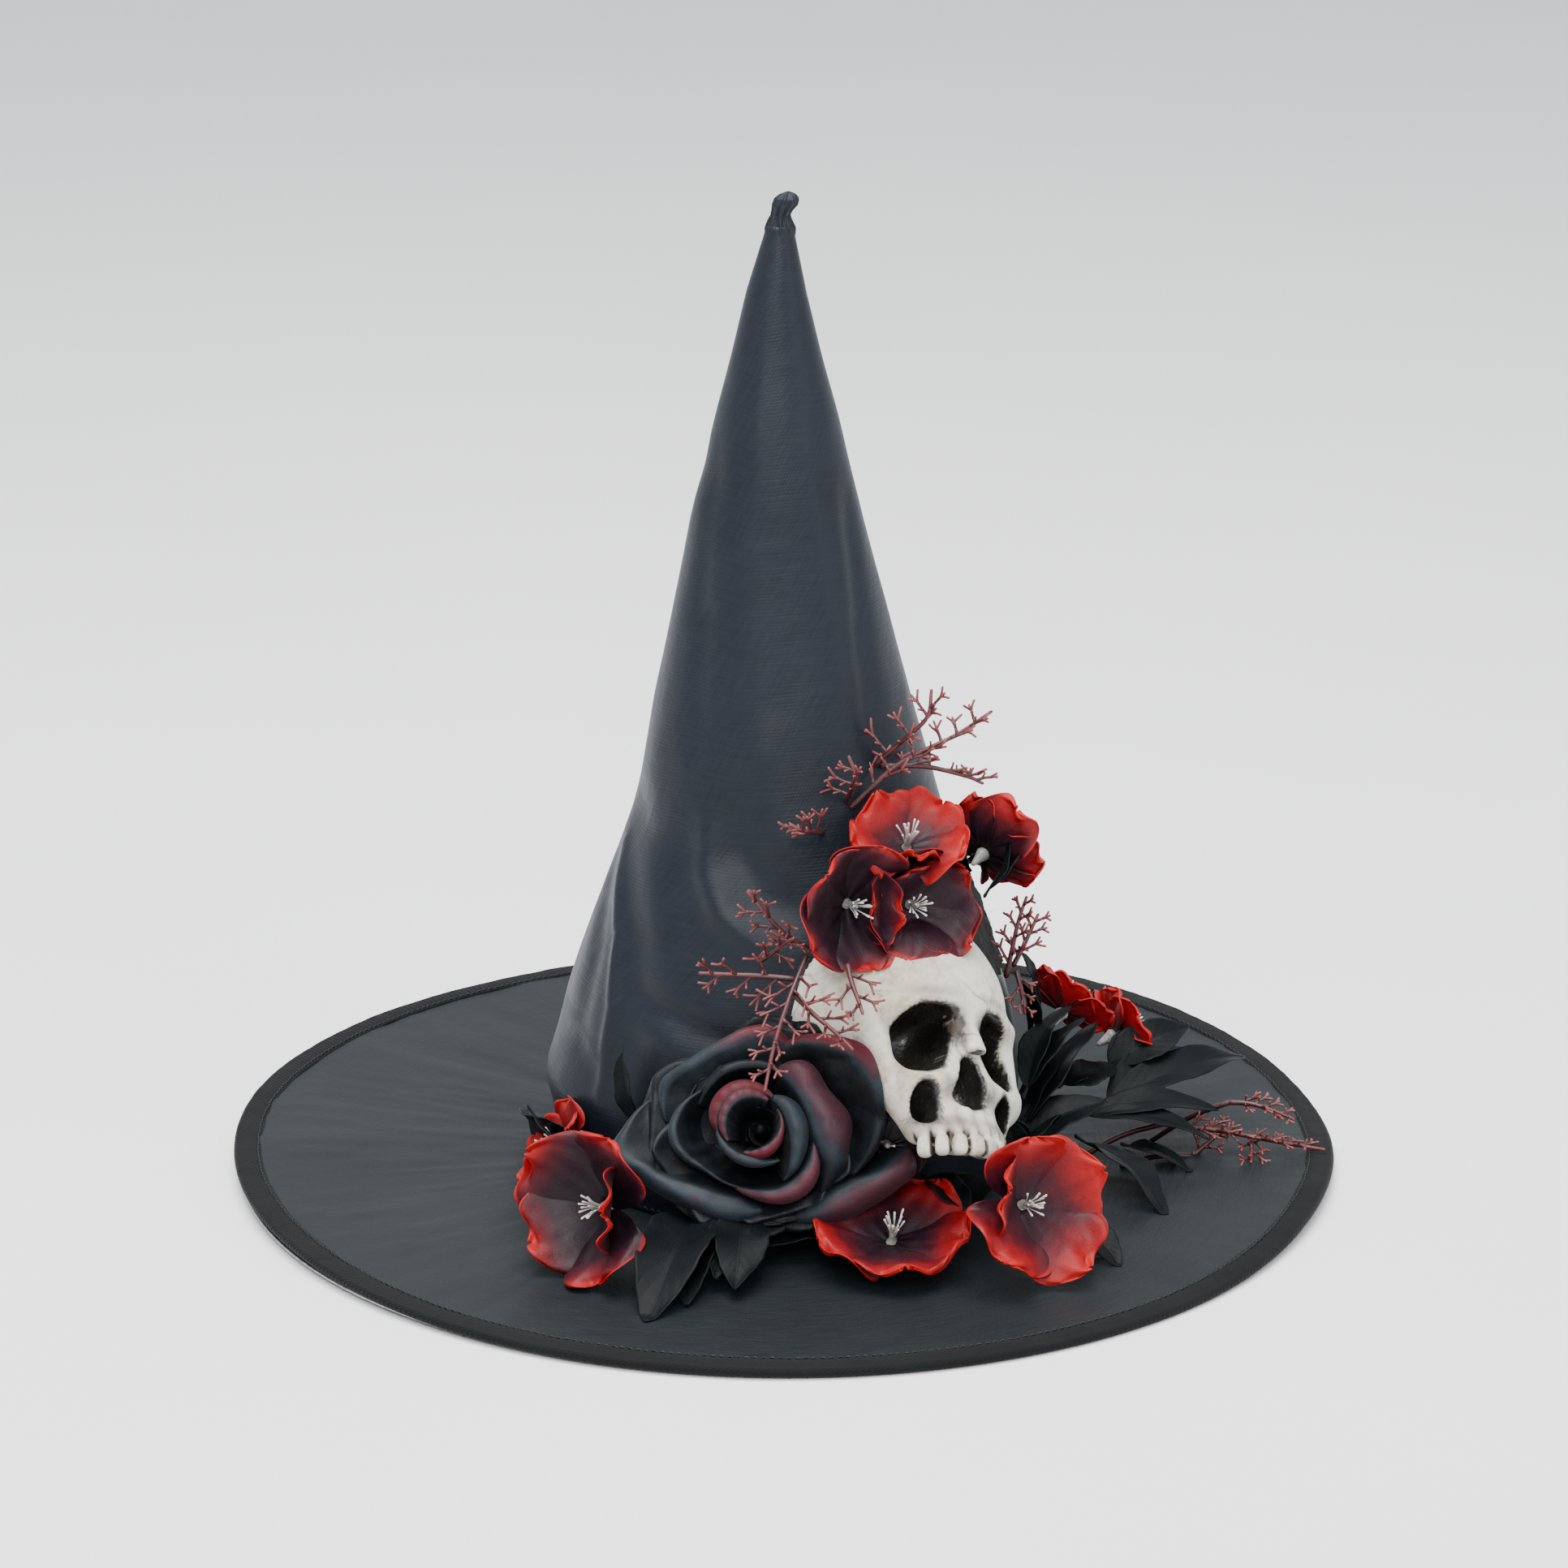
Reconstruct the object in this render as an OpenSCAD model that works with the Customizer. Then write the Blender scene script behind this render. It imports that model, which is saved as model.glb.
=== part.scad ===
// Costume witch hat: wired fabric brim, tall soft cone, and a skull with artificial
// flowers, leaves and sprigs glued to the front. Millimetres, +Z up, front towards -Y.
// The origin is the centre of the plane that the brim rests on.

/* [Brim] */
// Outside diameter of the brim over its binding
brim_d = 420; // [380:1:450]
// Width of the binding tape that folds over the brim's edge
binding_w = 10.5; // [8:0.5:14]
// Thickness of the brim over its binding
brim_t = 3.4; // [3.4:0.1:4]
// Diameter of the spring wire inside the brim's edge
hoop_wire_d = 1.4; // [1:0.1:1.4]

/* [Crown] */
// Height of the hat from the brim's resting plane to the tip
hat_h = 372; // [340:1:390]
// Largest radius of the crown, just above the brim
crown_r = 89.3; // [87:0.1:92]
// Thickness of the crown's cloth
cloth_t = 0.5; // [0.4:0.1:0.8]
// Radius of the head opening inside the sweatband
head_r = 85.5; // [83:0.1:85.5]
// Width of the sweatband
sweatband_w = 25; // [20:1:32]

/* [Skull] */
// Width of the skull's braincase
skull_w = 84; // [76:1:88]
// Backward lean of the skull's face against the cone
skull_lean = 35; // [28:1:40]
// Sideways tilt of the skull towards +X
skull_tilt = 23; // [15:1:28]

/* [Flowers] */
// Thickness of the satin petals and leaves
satin_t = 0.7; // [0.5:0.1:1]
// Length of each blossom's stamen and calyx moulding
pin_l = 20; // [16:1:24]
// Thickness of the moulded sprigs
sprig_t = 1.2; // [1:0.1:1.6]

/* [Hidden] */
$fn = 48;
skull_fn = 22;
// Where the middle of the line between the skull's eye sockets lies
eye_line = [1, -113, 79];
stem_w = 1.6;
twig_w = 1.1;
stitch_d = 0.6;
tape_t = 0.5;
brim_lining_t = 0.4;
// Tube of a blossom's pin and the wide end of its calyx
pin_r = 1.4;
calyx_r = 3.2;
// The felt patch reaches from this turn short of +X, over this sector
felt_turn = 104;
felt_sector = 66;

// Crown outline: [fraction of the hat's height, fraction of the crown's largest radius]
crown_outline = [
    [0.0078, 0.975], [0.038, 0.985], [0.102, 1], [0.156, 0.952], [0.21, 0.888], [0.28, 0.788],
    [0.366, 0.658], [0.495, 0.530], [0.578, 0.447], [0.672, 0.358], [0.745, 0.282],
    [0.828, 0.200], [0.909, 0.118], [0.97, 0.050]
];
brim_hole_r = crown_r * crown_outline[0][1] - 0.2;
brim_cloth_top = brim_t - tape_t;
brim_cloth_r = brim_d / 2 - 1;
crown_last = len(crown_outline) - 1;
lining_gap = 0.4;
lining_t = 0.4;
lining_top = 11;
sweatband_t = 0.8;
glue_t = 0.9;

// Places are cylindrical: [turn from the front towards +X in degrees, radius, height].
function spot(p) = [p[1] * sin(p[0]), -p[1] * cos(p[0]), p[2]];

// Crown outline moved inwards by a distance, from point number first to point number last
function wall(inset, first, last) =
    [for (i = [first:last]) [crown_r * crown_outline[i][1] - inset, hat_h * crown_outline[i][0]]];
function reversed(list) = [for (i = [len(list) - 1:-1:0]) list[i]];

// Blossoms: [place, facing turn, facing rise, petal length, spin]
blossoms = [
    [[3, 74, 142], -22, 58, 21, 8],
    [[-17, 78, 126], -4, 8, 23, 30],
    [[1, 80, 122], -10, 18, 22, 62],
    [[43, 77, 126], 108, 20, 20, 20],
    [[-62, 138, 27], -72, 18, 27, 40],
    [[-91, 97, 20], -112, 32, 17, 10],
    [[-16, 126, 13], -28, 74, 26, 14],
    [[0, 153, 30], -4, 24, 27, 50],
    [[62, 108, 52], 100, 34, 17, 12],
    [[66, 130, 38], 84, 22, 18, 44],
    [[-14, 108, 43], -30, 18, 15, 25]
];

// Leaves: [base place, tip place, width, roll]
leaves_right_upper = [
    [[56, 98, 56], [60, 91, 77], 8, 30],
    [[49, 98, 48], [52, 90, 70], 9, 60],
    [[33, 99, 40], [53, 107, 62], 13, -25],
    [[33, 98, 25], [54, 118, 54], 17, -20],
    [[48, 107, 32], [56, 127, 34], 13, 15],
    [[62, 140, 26], [68, 166, 26], 13, 10]
];
leaves_right_lower = [
    [[50, 124, 24], [64, 181, 32], 15, 20],
    [[59, 125, 32], [63, 157, 44], 16, 30],
    [[43, 118, 24], [51, 166, 24], 14, 12],
    [[37, 120, 18], [28, 162, 6], 18, -20],
    [[43, 134, 13], [43, 159, 5], 9, 0],
    [[29, 97, 18], [39, 126, 35], 17, 20],
    [[12, 143, 8], [11, 172, 5], 14, 0]
];
leaves_left = [
    [[-80, 101, 32], [-119, 102, 17], 19, 65],
    [[-71, 91, 40], [-76, 90, 66], 11, 80],
    [[-76, 106, 24], [-95, 110, 38], 10, 50]
];
leaves_under_rose = [
    [[-51, 110, 17], [-50, 178, 6], 24, 0],
    [[-42, 112, 21], [-40.5, 154, 10], 18, -8],
    [[-37, 120, 12], [-24, 112, 9], 9, 0]
];
leaves_under_skull = [
    [[-9, 106, 9], [11, 112, 22], 18, 20],
    [[-5, 108, 27], [-2, 128, 20], 14, 0],
    [[20, 108, 22], [17, 106, 38], 9, 70],
    [[16, 118, 6], [3, 126, 13], 14, 10]
];
leaves_top = [
    [[34, 82, 116], [48, 88, 135], 11, -50],
    [[18, 79, 140], [24, 80, 127], 8, 40]
];

// Sprigs: each is a list of fronds that stand clear of each other, [base place, tip place, width, roll]
sprigs = [
    [[[-8, 80, 155], [34, 82, 185], 18, 0]],
    [[[5, 76, 168], [13, 73, 199], 17, 0], [[-10, 74, 157], [-14, 69, 178], 13, 80]],
    [[[8, 76, 167], [34, 79, 157], 15, 0], [[-20, 76, 147], [-32, 84, 159], 13, 40]],
    [[[-28, 82, 111], [-43, 83, 133], 17, 60], [[-31, 88, 107], [-39, 90, 119], 13, 60]],
    [[[-29, 93, 112], [-37, 129, 75], 17, 10]],
    [[[-32, 99, 106], [-51, 103, 108], 19, 70], [[-32, 105, 102], [-23, 127, 89], 16, 20]],
    [[[-22, 99, 118], [-21, 124, 101], 17, 0]],
    [[[42, 86, 78], [47, 92, 107], 12, 20], [[45, 88, 81], [51, 96, 98], 11, 50]],
    [[[48, 145, 18], [50, 206, 8], 14, 0]],
    [[[51.5, 170, 24], [50, 194, 20], 9, 20], [[48, 171, 12], [49.5, 184, 5], 12, 30],
        [[52, 157, 13], [49, 167, 5.5], 12, 40]],
    [[[42, 90, 80], [40, 94, 65], 9, 20]]
];

// Rose: its place, facing and petals, [length, start of the petal's sector]
rose_place = [-38.5, 95, 44];
rose_turn = -38.5;
rose_rise = 30;
rose_outer = [[52, 146], [44, 218], [46, 290], [54, 2], [38, 74]];

// ---------- brim ----------

// Flat ring between two radii and two heights
module flat_ring(r_in, r_out, z_low, z_high)
    rotate_extrude() translate([r_in, z_low]) square([r_out - r_in, z_high - z_low]);

module brim_cloth()
    color([0.13, 0.15, 0.17])
        flat_ring(brim_hole_r, brim_cloth_r, brim_cloth_top - cloth_t, brim_cloth_top);

module brim_lining()
    color([0.08, 0.09, 0.10]) flat_ring(brim_hole_r, brim_cloth_r, tape_t, tape_t + brim_lining_t);

// Spring wire that holds the brim's edge in a circle
module brim_hoop() {
    mid_z = (tape_t + brim_lining_t + brim_cloth_top - cloth_t) / 2;
    color([0.35, 0.36, 0.38])
        rotate_extrude() translate([brim_cloth_r - hoop_wire_d, mid_z]) circle(d = hoop_wire_d);
}

// Tape folded over the edge, U-shaped in section and open towards the crown
module brim_binding()
    color([0.06, 0.07, 0.08])
        rotate_extrude() difference() {
            translate([brim_d / 2 - binding_w, 0]) square([binding_w, brim_t]);
            translate([brim_cloth_r - binding_w, tape_t]) square([binding_w, brim_t - 2 * tape_t]);
        }

module binding_stitching()
    color([0.03, 0.03, 0.04])
        rotate_extrude() translate([brim_d / 2 - binding_w + 1.3, brim_t + 0.1]) circle(d = stitch_d);

// ---------- crown ----------

// Thin shell of revolution that follows the crown outline between two of its points
module crown_shell(outer_inset, thickness, first, last, sector = 360)
    rotate_extrude(angle = sector) polygon(concat(
        wall(outer_inset, first, last),
        reversed(wall(outer_inset + thickness, first, last))
    ));

// Solid of the crown grown outwards by a clearance, for cutting what is glued to it
module crown_core(clearance)
    rotate_extrude() polygon(concat([[0, 0], [crown_r * crown_outline[0][1] + clearance, 0]],
        wall(-clearance, 0, crown_last), [[0, hat_h]]));

module crown_cloth()
    color([0.08, 0.10, 0.12]) crown_shell(0, cloth_t, 0, crown_last);

module crown_lining()
    color([0.04, 0.04, 0.05]) crown_shell(cloth_t + lining_gap, lining_t, 1, lining_top);

// Seam allowance of the crown's single back seam, between cloth and lining
module crown_seam()
    color([0.06, 0.07, 0.08]) rotate([0, 0, 86]) crown_shell(cloth_t, lining_gap, 1, lining_top, 8);

// Knotted gather that closes the top of the cone
module tip_gather() {
    neck_z = hat_h * 0.955;
    color([0.08, 0.09, 0.10]) rotate_extrude() difference() {
        hull() {
            translate([0, hat_h - 5.2]) circle(r = 5.2);
            translate([0, neck_z]) square([5.6, 1]);
        }
        translate([-20, neck_z - 1]) square([20, 40]);
    }
}

module sweatband()
    color([0.05, 0.05, 0.06]) rotate_extrude() translate([head_r, 1]) square([sweatband_t, sweatband_w]);

module crown_base_stitching()
    color([0.03, 0.03, 0.04])
        rotate_extrude() translate([crown_r * 0.978, brim_t + 1.6]) circle(d = stitch_d);

// Patch of felt on the cone's front that carries the upper flowers
module felt_backing()
    color([0.03, 0.03, 0.03]) rotate([0, 0, -felt_turn]) crown_shell(-1.6, 1.5, 4, 6, felt_sector);

// Beads of glue between the cone and the skull, and between the cone and the rose
module glue_pads()
    color([0.75, 0.74, 0.70]) intersection() {
        crown_shell(-glue_t, glue_t - 0.05, 0, crown_last);
        for (p = [[-8, 60, 72], [12, 60, 72], [3, 55, 95], [-38.5, 70, 42]])
            translate(spot(p)) rotate([0, 0, p[0]]) rotate([90, 0, 0]) cylinder(h = 30, d = 16);
    }

// ---------- skull ----------

// Ball stretched along each axis
module ball(place, size)
    translate(place) scale(size / 2) sphere(1, $fn = skull_fn);

// Smooth blend between two stretched balls
module bridge(a, a_size, b, b_size)
    hull() {
        ball(a, a_size);
        ball(b, b_size);
    }

// Upper skull without its jaw, facing -Y, with the origin between its eye sockets
module skull_shape() {
    w = skull_w;
    tooth = w * 0.058;
    translate([0, 0.5 * w, -0.54 * w]) difference() {
        union() {
            bridge([0, 0.02 * w, 0.82 * w], w * [1, 1.15, 0.90],
                [0, -0.10 * w, 0.74 * w], w * [0.88, 0.98, 0.72]);
            for (side = [-1, 1]) {
                bridge([side * 0.34 * w, -0.39 * w, 0.68 * w], w * [0.14, 0.16, 0.10],
                    [side * 0.06 * w, -0.50 * w, 0.69 * w], w * [0.14, 0.14, 0.12]);
                bridge([side * 0.40 * w, -0.33 * w, 0.64 * w], w * [0.10, 0.16, 0.12],
                    [side * 0.37 * w, -0.38 * w, 0.36 * w], w * [0.15, 0.18, 0.14]);
                bridge([side * 0.37 * w, -0.38 * w, 0.36 * w], w * [0.15, 0.18, 0.14],
                    [side * 0.17 * w, -0.48 * w, 0.31 * w], w * [0.15, 0.16, 0.13]);
                bridge([side * 0.40 * w, -0.32 * w, 0.33 * w], w * [0.10, 0.14, 0.11],
                    [side * 0.45 * w, -0.14 * w, 0.37 * w], w * [0.08, 0.14, 0.10]);
            }
            bridge([0, -0.50 * w, 0.64 * w], w * [0.14, 0.14, 0.10],
                [0, -0.57 * w, 0.46 * w], w * [0.12, 0.12, 0.10]);
            bridge([0, -0.36 * w, 0.40 * w], w * [0.52, 0.28, 0.24],
                [0, -0.40 * w, 0.15 * w], w * [0.44, 0.32, 0.14]);
            translate([0, -0.28 * w, 0]) for (i = [-3.5:1:3.5])
                rotate([0, 0, i * 17]) translate([0, -0.255 * w, 0])
                    scale([1, 0.8, 1]) cylinder(h = 0.14 * w, d1 = tooth * 1.1, d2 = tooth * 1.3, $fn = 12);
        }
        for (side = [-1, 1]) {
            ball([side * 0.195 * w, -0.52 * w, 0.54 * w], w * [0.29, 0.50, 0.30]);
            ball([side * 0.23 * w, -0.54 * w, 0.25 * w], w * [0.12, 0.16, 0.18]);
            ball([side * 0.53 * w, -0.24 * w, 0.55 * w], w * [0.18, 0.34, 0.34]);
        }
        bridge([0, -0.60 * w, 0.42 * w], w * [0.09, 0.36, 0.09],
            [0, -0.60 * w, 0.32 * w], w * [0.19, 0.36, 0.12]);
    }
}

module skull()
    color([0.86, 0.84, 0.79]) difference() {
        translate(eye_line) rotate([-skull_lean, skull_tilt, 0]) skull_shape();
        crown_core(glue_t);
    }

// ---------- flowers ----------

// Places a child that faces +Z so that it faces a turn and a rise
module facing(place, turn, rise, spin)
    translate(spot(place)) rotate([0, 0, turn]) rotate([90 - rise, 0, 0]) rotate([0, 0, spin]) children();

// One petal: a sector of a dished shell
module petal(r_in, r_out, dish, sector) {
    bend_r = r_in + (r_out - r_in) * 0.6;
    bend_z = dish * 0.45;
    rotate_extrude(angle = sector) polygon([
        [r_in, 0], [bend_r, bend_z], [r_out, dish],
        [r_out - satin_t / 2, dish + satin_t], [bend_r, bend_z + satin_t], [r_in, satin_t]
    ]);
}

module blossom_petals(b)
    color([0.78, 0.05, 0.06]) facing(b[0], b[1], b[2], b[4])
        for (i = [0:4]) rotate([0, 0, i * 72 + 3]) petal(2.4, b[3], b[3] * 0.42, 66);

// Moulded calyx behind the petals, tube through them and stamens in front
module blossom_pin(b)
    color([0.72, 0.71, 0.69]) facing(b[0], b[1], b[2], b[4]) {
        translate([0, 0, -pin_l * 0.4]) cylinder(h = pin_l * 0.4 - 0.3, r1 = 1, r2 = calyx_r);
        translate([0, 0, -1]) cylinder(h = pin_l * 0.6 + 1, r = pin_r);
    }

module rose_outer_petals()
    color([0.16, 0.08, 0.10]) facing(rose_place, rose_turn, rose_rise, 0)
        for (p = rose_outer) rotate([0, 0, p[1]]) petal(9, p[0], 15, 68);

module rose_middle_petals()
    color([0.07, 0.09, 0.11]) facing(rose_place, rose_turn, rose_rise, 0) translate([0, 0, 5])
        for (i = [0:3]) rotate([0, 0, i * 90 + 20]) petal(7, 30, 17, 85);

module rose_inner_petals()
    color([0.30, 0.07, 0.10]) facing(rose_place, rose_turn, rose_rise, 0) translate([0, 0, 8])
        for (i = [0:2]) rotate([0, 0, i * 120]) rotate_extrude(angle = 115)
            polygon([[3, 0], [13, 3], [16, 10], [15, 22], [14.2, 22], [14.8, 10], [12, 4.2], [3, 1.2]]);

module rose_calyx()
    color([0.06, 0.07, 0.06]) facing(rose_place, rose_turn, rose_rise, 0) {
        translate([0, 0, -5]) cylinder(h = 5, r1 = 4, r2 = 9);
        cylinder(h = 14, r = 3);
    }

// ---------- leaves and sprigs ----------

// Lays a child that grows along +Y from one place to another, rolled about its length
module along(from, to, roll) {
    run = spot(to) - spot(from);
    translate(spot(from)) rotate([asin(run[2] / norm(run)), 0, atan2(-run[0], run[1])])
        rotate([0, roll, 0]) children();
}

// Pointed leaf: the overlap of two discs
module leaf(p) {
    length = norm(spot(p[1]) - spot(p[0]));
    arc_r = (length * length + p[2] * p[2]) / (4 * p[2]);
    along(p[0], p[1], p[3]) linear_extrude(satin_t, center = true)
        intersection_for (side = [-1, 1])
            translate([side * (arc_r - p[2] / 2), length / 2]) circle(arc_r, $fn = 96);
}

module leaf_group(leaves)
    color([0.05, 0.06, 0.07]) for (p = leaves) leaf(p);

// Outline of a forked twig that leaves the stem's right edge at height y
function twig(y, reach) =
    let (
        out = [sin(48), cos(48)],
        edge = [cos(48), -sin(48)] * twig_w / 2,
        fork = [stem_w / 2, y] + out * reach * 0.55,
        low = fork + [sin(85), cos(85)] * reach * 0.5,
        high = fork + [sin(12), cos(12)] * reach * 0.5
    )
    [
        [stem_w / 2, y - twig_w], fork + edge, low + [0, -0.4], low + [0.3, 0.4],
        fork + out * twig_w, high + [0.5, 0.1], high + [-0.4, 0.3], fork - edge,
        [stem_w / 2, y + twig_w]
    ];

// Outline of a flat frond of a given length and width, with twigs on both sides
function frond_side(length, width) = [for (y = [length * 0.2:width * 0.5:length * 0.9])
    each twig(y, width * 0.62 * (1.15 - 0.55 * y / length))];

module frond(p) {
    length = norm(spot(p[1]) - spot(p[0]));
    side = frond_side(length, p[2]);
    left = [for (q = reversed(side)) [-q[0], q[1]]];
    along(p[0], p[1], p[3]) linear_extrude(sprig_t, center = true)
        polygon(concat([[-stem_w / 2, 0], [stem_w / 2, 0]], side, [[0, length]], left));
}

module sprig(fronds)
    color([0.48, 0.12, 0.13]) for (p = fronds) frond(p);

// ---------- assembly ----------

brim_cloth();
brim_lining();
brim_hoop();
brim_binding();
binding_stitching();
crown_cloth();
crown_lining();
crown_seam();
tip_gather();
sweatband();
crown_base_stitching();
felt_backing();
glue_pads();
skull();
rose_outer_petals();
rose_middle_petals();
rose_inner_petals();
rose_calyx();
for (i = [1:len(blossoms)])
    blossom_petals(blossoms[i - 1]);
for (i = [1:len(blossoms)])
    blossom_pin(blossoms[i - 1]);
leaf_group(leaves_right_upper);
leaf_group(leaves_right_lower);
leaf_group(leaves_left);
leaf_group(leaves_under_rose);
leaf_group(leaves_under_skull);
leaf_group(leaves_top);
for (i = [1:len(sprigs)])
    sprig(sprigs[i - 1]);
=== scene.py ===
import math

import bpy
import numpy as np
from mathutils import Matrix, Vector


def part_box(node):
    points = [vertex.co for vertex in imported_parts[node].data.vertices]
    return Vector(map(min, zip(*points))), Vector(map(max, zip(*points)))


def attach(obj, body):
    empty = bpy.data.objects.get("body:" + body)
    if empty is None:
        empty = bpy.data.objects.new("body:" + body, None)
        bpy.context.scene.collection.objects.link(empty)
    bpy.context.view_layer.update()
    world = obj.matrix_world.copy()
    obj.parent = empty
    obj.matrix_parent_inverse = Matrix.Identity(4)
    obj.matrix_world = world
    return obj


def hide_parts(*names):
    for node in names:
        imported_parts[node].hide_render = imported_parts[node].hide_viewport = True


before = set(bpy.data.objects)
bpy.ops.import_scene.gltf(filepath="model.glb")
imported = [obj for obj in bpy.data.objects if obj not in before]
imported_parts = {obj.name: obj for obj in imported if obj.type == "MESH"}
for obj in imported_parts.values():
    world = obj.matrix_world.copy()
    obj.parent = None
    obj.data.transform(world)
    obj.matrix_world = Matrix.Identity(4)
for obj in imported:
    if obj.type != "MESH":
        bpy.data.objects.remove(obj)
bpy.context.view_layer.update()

MM = 0.001
CLOTH = 0.5 * MM
BODY = "root"
rng = np.random.default_rng(31)


# ---------- reading the CAD nodes ----------

def cad_points(node):
    """Vertices of a CAD node in metres."""
    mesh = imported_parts[node].data
    flat = np.empty(len(mesh.vertices) * 3)
    mesh.vertices.foreach_get("co", flat)
    return flat.reshape(-1, 3)


def cad_parts(node):
    """Vertices of each separate solid of a CAD node."""
    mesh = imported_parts[node].data
    points = cad_points(node)
    parent = list(range(len(points)))

    def top(i):
        while parent[i] != i:
            parent[i] = parent[parent[i]]
            i = parent[i]
        return i

    same = {}
    for i, p in enumerate(np.round(points, 6)):
        key = tuple(p)
        if key in same:
            parent[top(i)] = top(same[key])
        else:
            same[key] = i
    for edge in mesh.edges:
        a, b = edge.vertices
        parent[top(a)] = top(b)
    groups = {}
    for i in range(len(points)):
        groups.setdefault(top(i), []).append(i)
    parts = [points[g] for g in groups.values()]
    return sorted(parts, key=lambda p: tuple(np.round(p.mean(0), 5)))


def radii(node):
    points = cad_points(node)
    return np.hypot(points[:, 0], points[:, 1])


def unit(v):
    v = np.asarray(v, float)
    return v / np.linalg.norm(v)


def wrap(turn):
    """Turn in degrees brought between -180 and 180."""
    return (turn + 180) % 360 - 180


def around(count, levels):
    """Grid of turns in degrees round the hat, and of levels."""
    return np.meshgrid(np.linspace(-180, 180, count, endpoint=False), levels)


def ring_point(turn, r, z):
    """Point at a turn in degrees from the front, a radius and a height."""
    a = np.radians(turn)
    return np.stack([r * np.sin(a), -r * np.cos(a), z], -1)


def smooth_step(a, b, x):
    t = np.clip((x - a) / (b - a), 0, 1)
    return t * t * (3 - 2 * t)


# ---------- noise ----------

LATTICE = np.random.default_rng(7).random((32, 32, 32))


def noise(points, size, shift=0.0):
    """Smooth value noise from -1 to 1 at a feature size in metres."""
    p = np.asarray(points, float) / size + shift
    base = np.floor(p).astype(int)
    f = p - base
    f = f * f * (3 - 2 * f)
    total = np.zeros(p.shape[:-1])
    for i in (0, 1):
        for j in (0, 1):
            for k in (0, 1):
                weight = (f[..., 0] if i else 1 - f[..., 0])
                weight = weight * (f[..., 1] if j else 1 - f[..., 1])
                weight = weight * (f[..., 2] if k else 1 - f[..., 2])
                cell = LATTICE[(base[..., 0] + i) % 32, (base[..., 1] + j) % 32,
                               (base[..., 2] + k) % 32]
                total += weight * cell
    return total * 2 - 1


# ---------- mesh building ----------

class Shape:
    """Collects vertices, faces and per-vertex attributes of one piece."""

    def __init__(self):
        self.points, self.faces, self.marks, self.count = [], [], {}, 0

    def add(self, points, faces, **marks):
        points = np.asarray(points, float).reshape(-1, 3)
        self.faces += [tuple(i + self.count for i in f) for f in faces]
        self.points.append(points)
        for key, value in marks.items():
            value = np.asarray(value, float)
            if value.ndim == 0:
                value = np.full(len(points), float(value))
            self.marks.setdefault(key, []).append((self.count, value))
        self.count += len(points)

    def build(self, name, material, replaces=(), smooth=True):
        mesh = bpy.data.meshes.new(name)
        points = np.concatenate(self.points)
        mesh.from_pydata(points.tolist(), [], self.faces)
        mesh.validate()
        for key, chunks in self.marks.items():
            if chunks[0][1].ndim == 1:
                values = np.zeros(len(points))
                kind, field = "FLOAT", "value"
            else:
                values = np.zeros((len(points), 3))
                kind, field = "FLOAT_VECTOR", "vector"
            for start, value in chunks:
                values[start:start + len(value)] = value
            mesh.attributes.new(key, kind, "POINT").data.foreach_set(field, values.ravel())
        mesh.polygons.foreach_set("use_smooth", [smooth] * len(mesh.polygons))
        mesh.materials.append(material)
        mesh.update()
        piece = bpy.data.objects.new(name, mesh)
        bpy.context.scene.collection.objects.link(piece)
        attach(piece, BODY)
        if replaces:
            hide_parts(*replaces)
        return piece


def grid_faces(rows, cols, closed, start=0, flip=False):
    faces = []
    for i in range(rows - 1):
        for j in range(cols if closed else cols - 1):
            k = (j + 1) % cols
            face = (i * cols + j, i * cols + k, (i + 1) * cols + k, (i + 1) * cols + j)
            if flip:
                face = face[::-1]
            faces.append(tuple(start + v for v in face))
    return faces


def closed_shell(shape, outer, inner, cloth, around=True):
    """Joins two grids of the same size into one closed sheet."""
    rows, cols = outer.shape[:2]
    n = rows * cols
    faces = grid_faces(rows, cols, around) + grid_faces(rows, cols, around, n, True)
    for j in range(cols if around else cols - 1):
        k = (j + 1) % cols
        faces.append((j, n + j, n + k, k))
        a, b = (rows - 1) * cols + j, (rows - 1) * cols + k
        faces.append((a, b, n + b, n + a))
    if not around:
        for i in range(rows - 1):
            a, b = i * cols, (i + 1) * cols
            faces.append((a, b, n + b, n + a))
            a, b = a + cols - 1, b + cols - 1
            faces.append((a, n + a, n + b, b))
    points = np.concatenate([outer.reshape(-1, 3), inner.reshape(-1, 3)])
    shape.add(points, faces, cloth=np.concatenate([cloth.reshape(-1, 3)] * 2))


def grid_normals(grid, closed=False):
    """Unit normals of a grid of points."""
    if closed:
        across = np.roll(grid, -1, 1) - np.roll(grid, 1, 1)
    else:
        across = np.gradient(grid, axis=1)
    along = np.gradient(grid, axis=0)
    normal = np.cross(across, along)
    return normal / np.maximum(np.linalg.norm(normal, axis=-1, keepdims=True), 1e-12)


def leaf_shell(shape, grid, thickness, **marks):
    """Adds an open grid as a thin closed sheet."""
    normal = grid_normals(grid)
    rows, cols = grid.shape[:2]
    n = rows * cols
    faces = grid_faces(rows, cols, False) + grid_faces(rows, cols, False, n, True)
    rim = [j for j in range(cols)] + [i * cols + cols - 1 for i in range(1, rows)]
    rim += [(rows - 1) * cols + j for j in range(cols - 2, -1, -1)]
    rim += [i * cols for i in range(rows - 2, 0, -1)]
    for a, b in zip(rim, rim[1:] + rim[:1]):
        faces.append((b, a, n + a, n + b))
    points = np.concatenate([(grid + normal * thickness / 2).reshape(-1, 3),
                             (grid - normal * thickness / 2).reshape(-1, 3)])
    doubled = {k: np.concatenate([np.ravel(v)] * 2) for k, v in marks.items()}
    shape.add(points, faces, **doubled)


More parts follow.
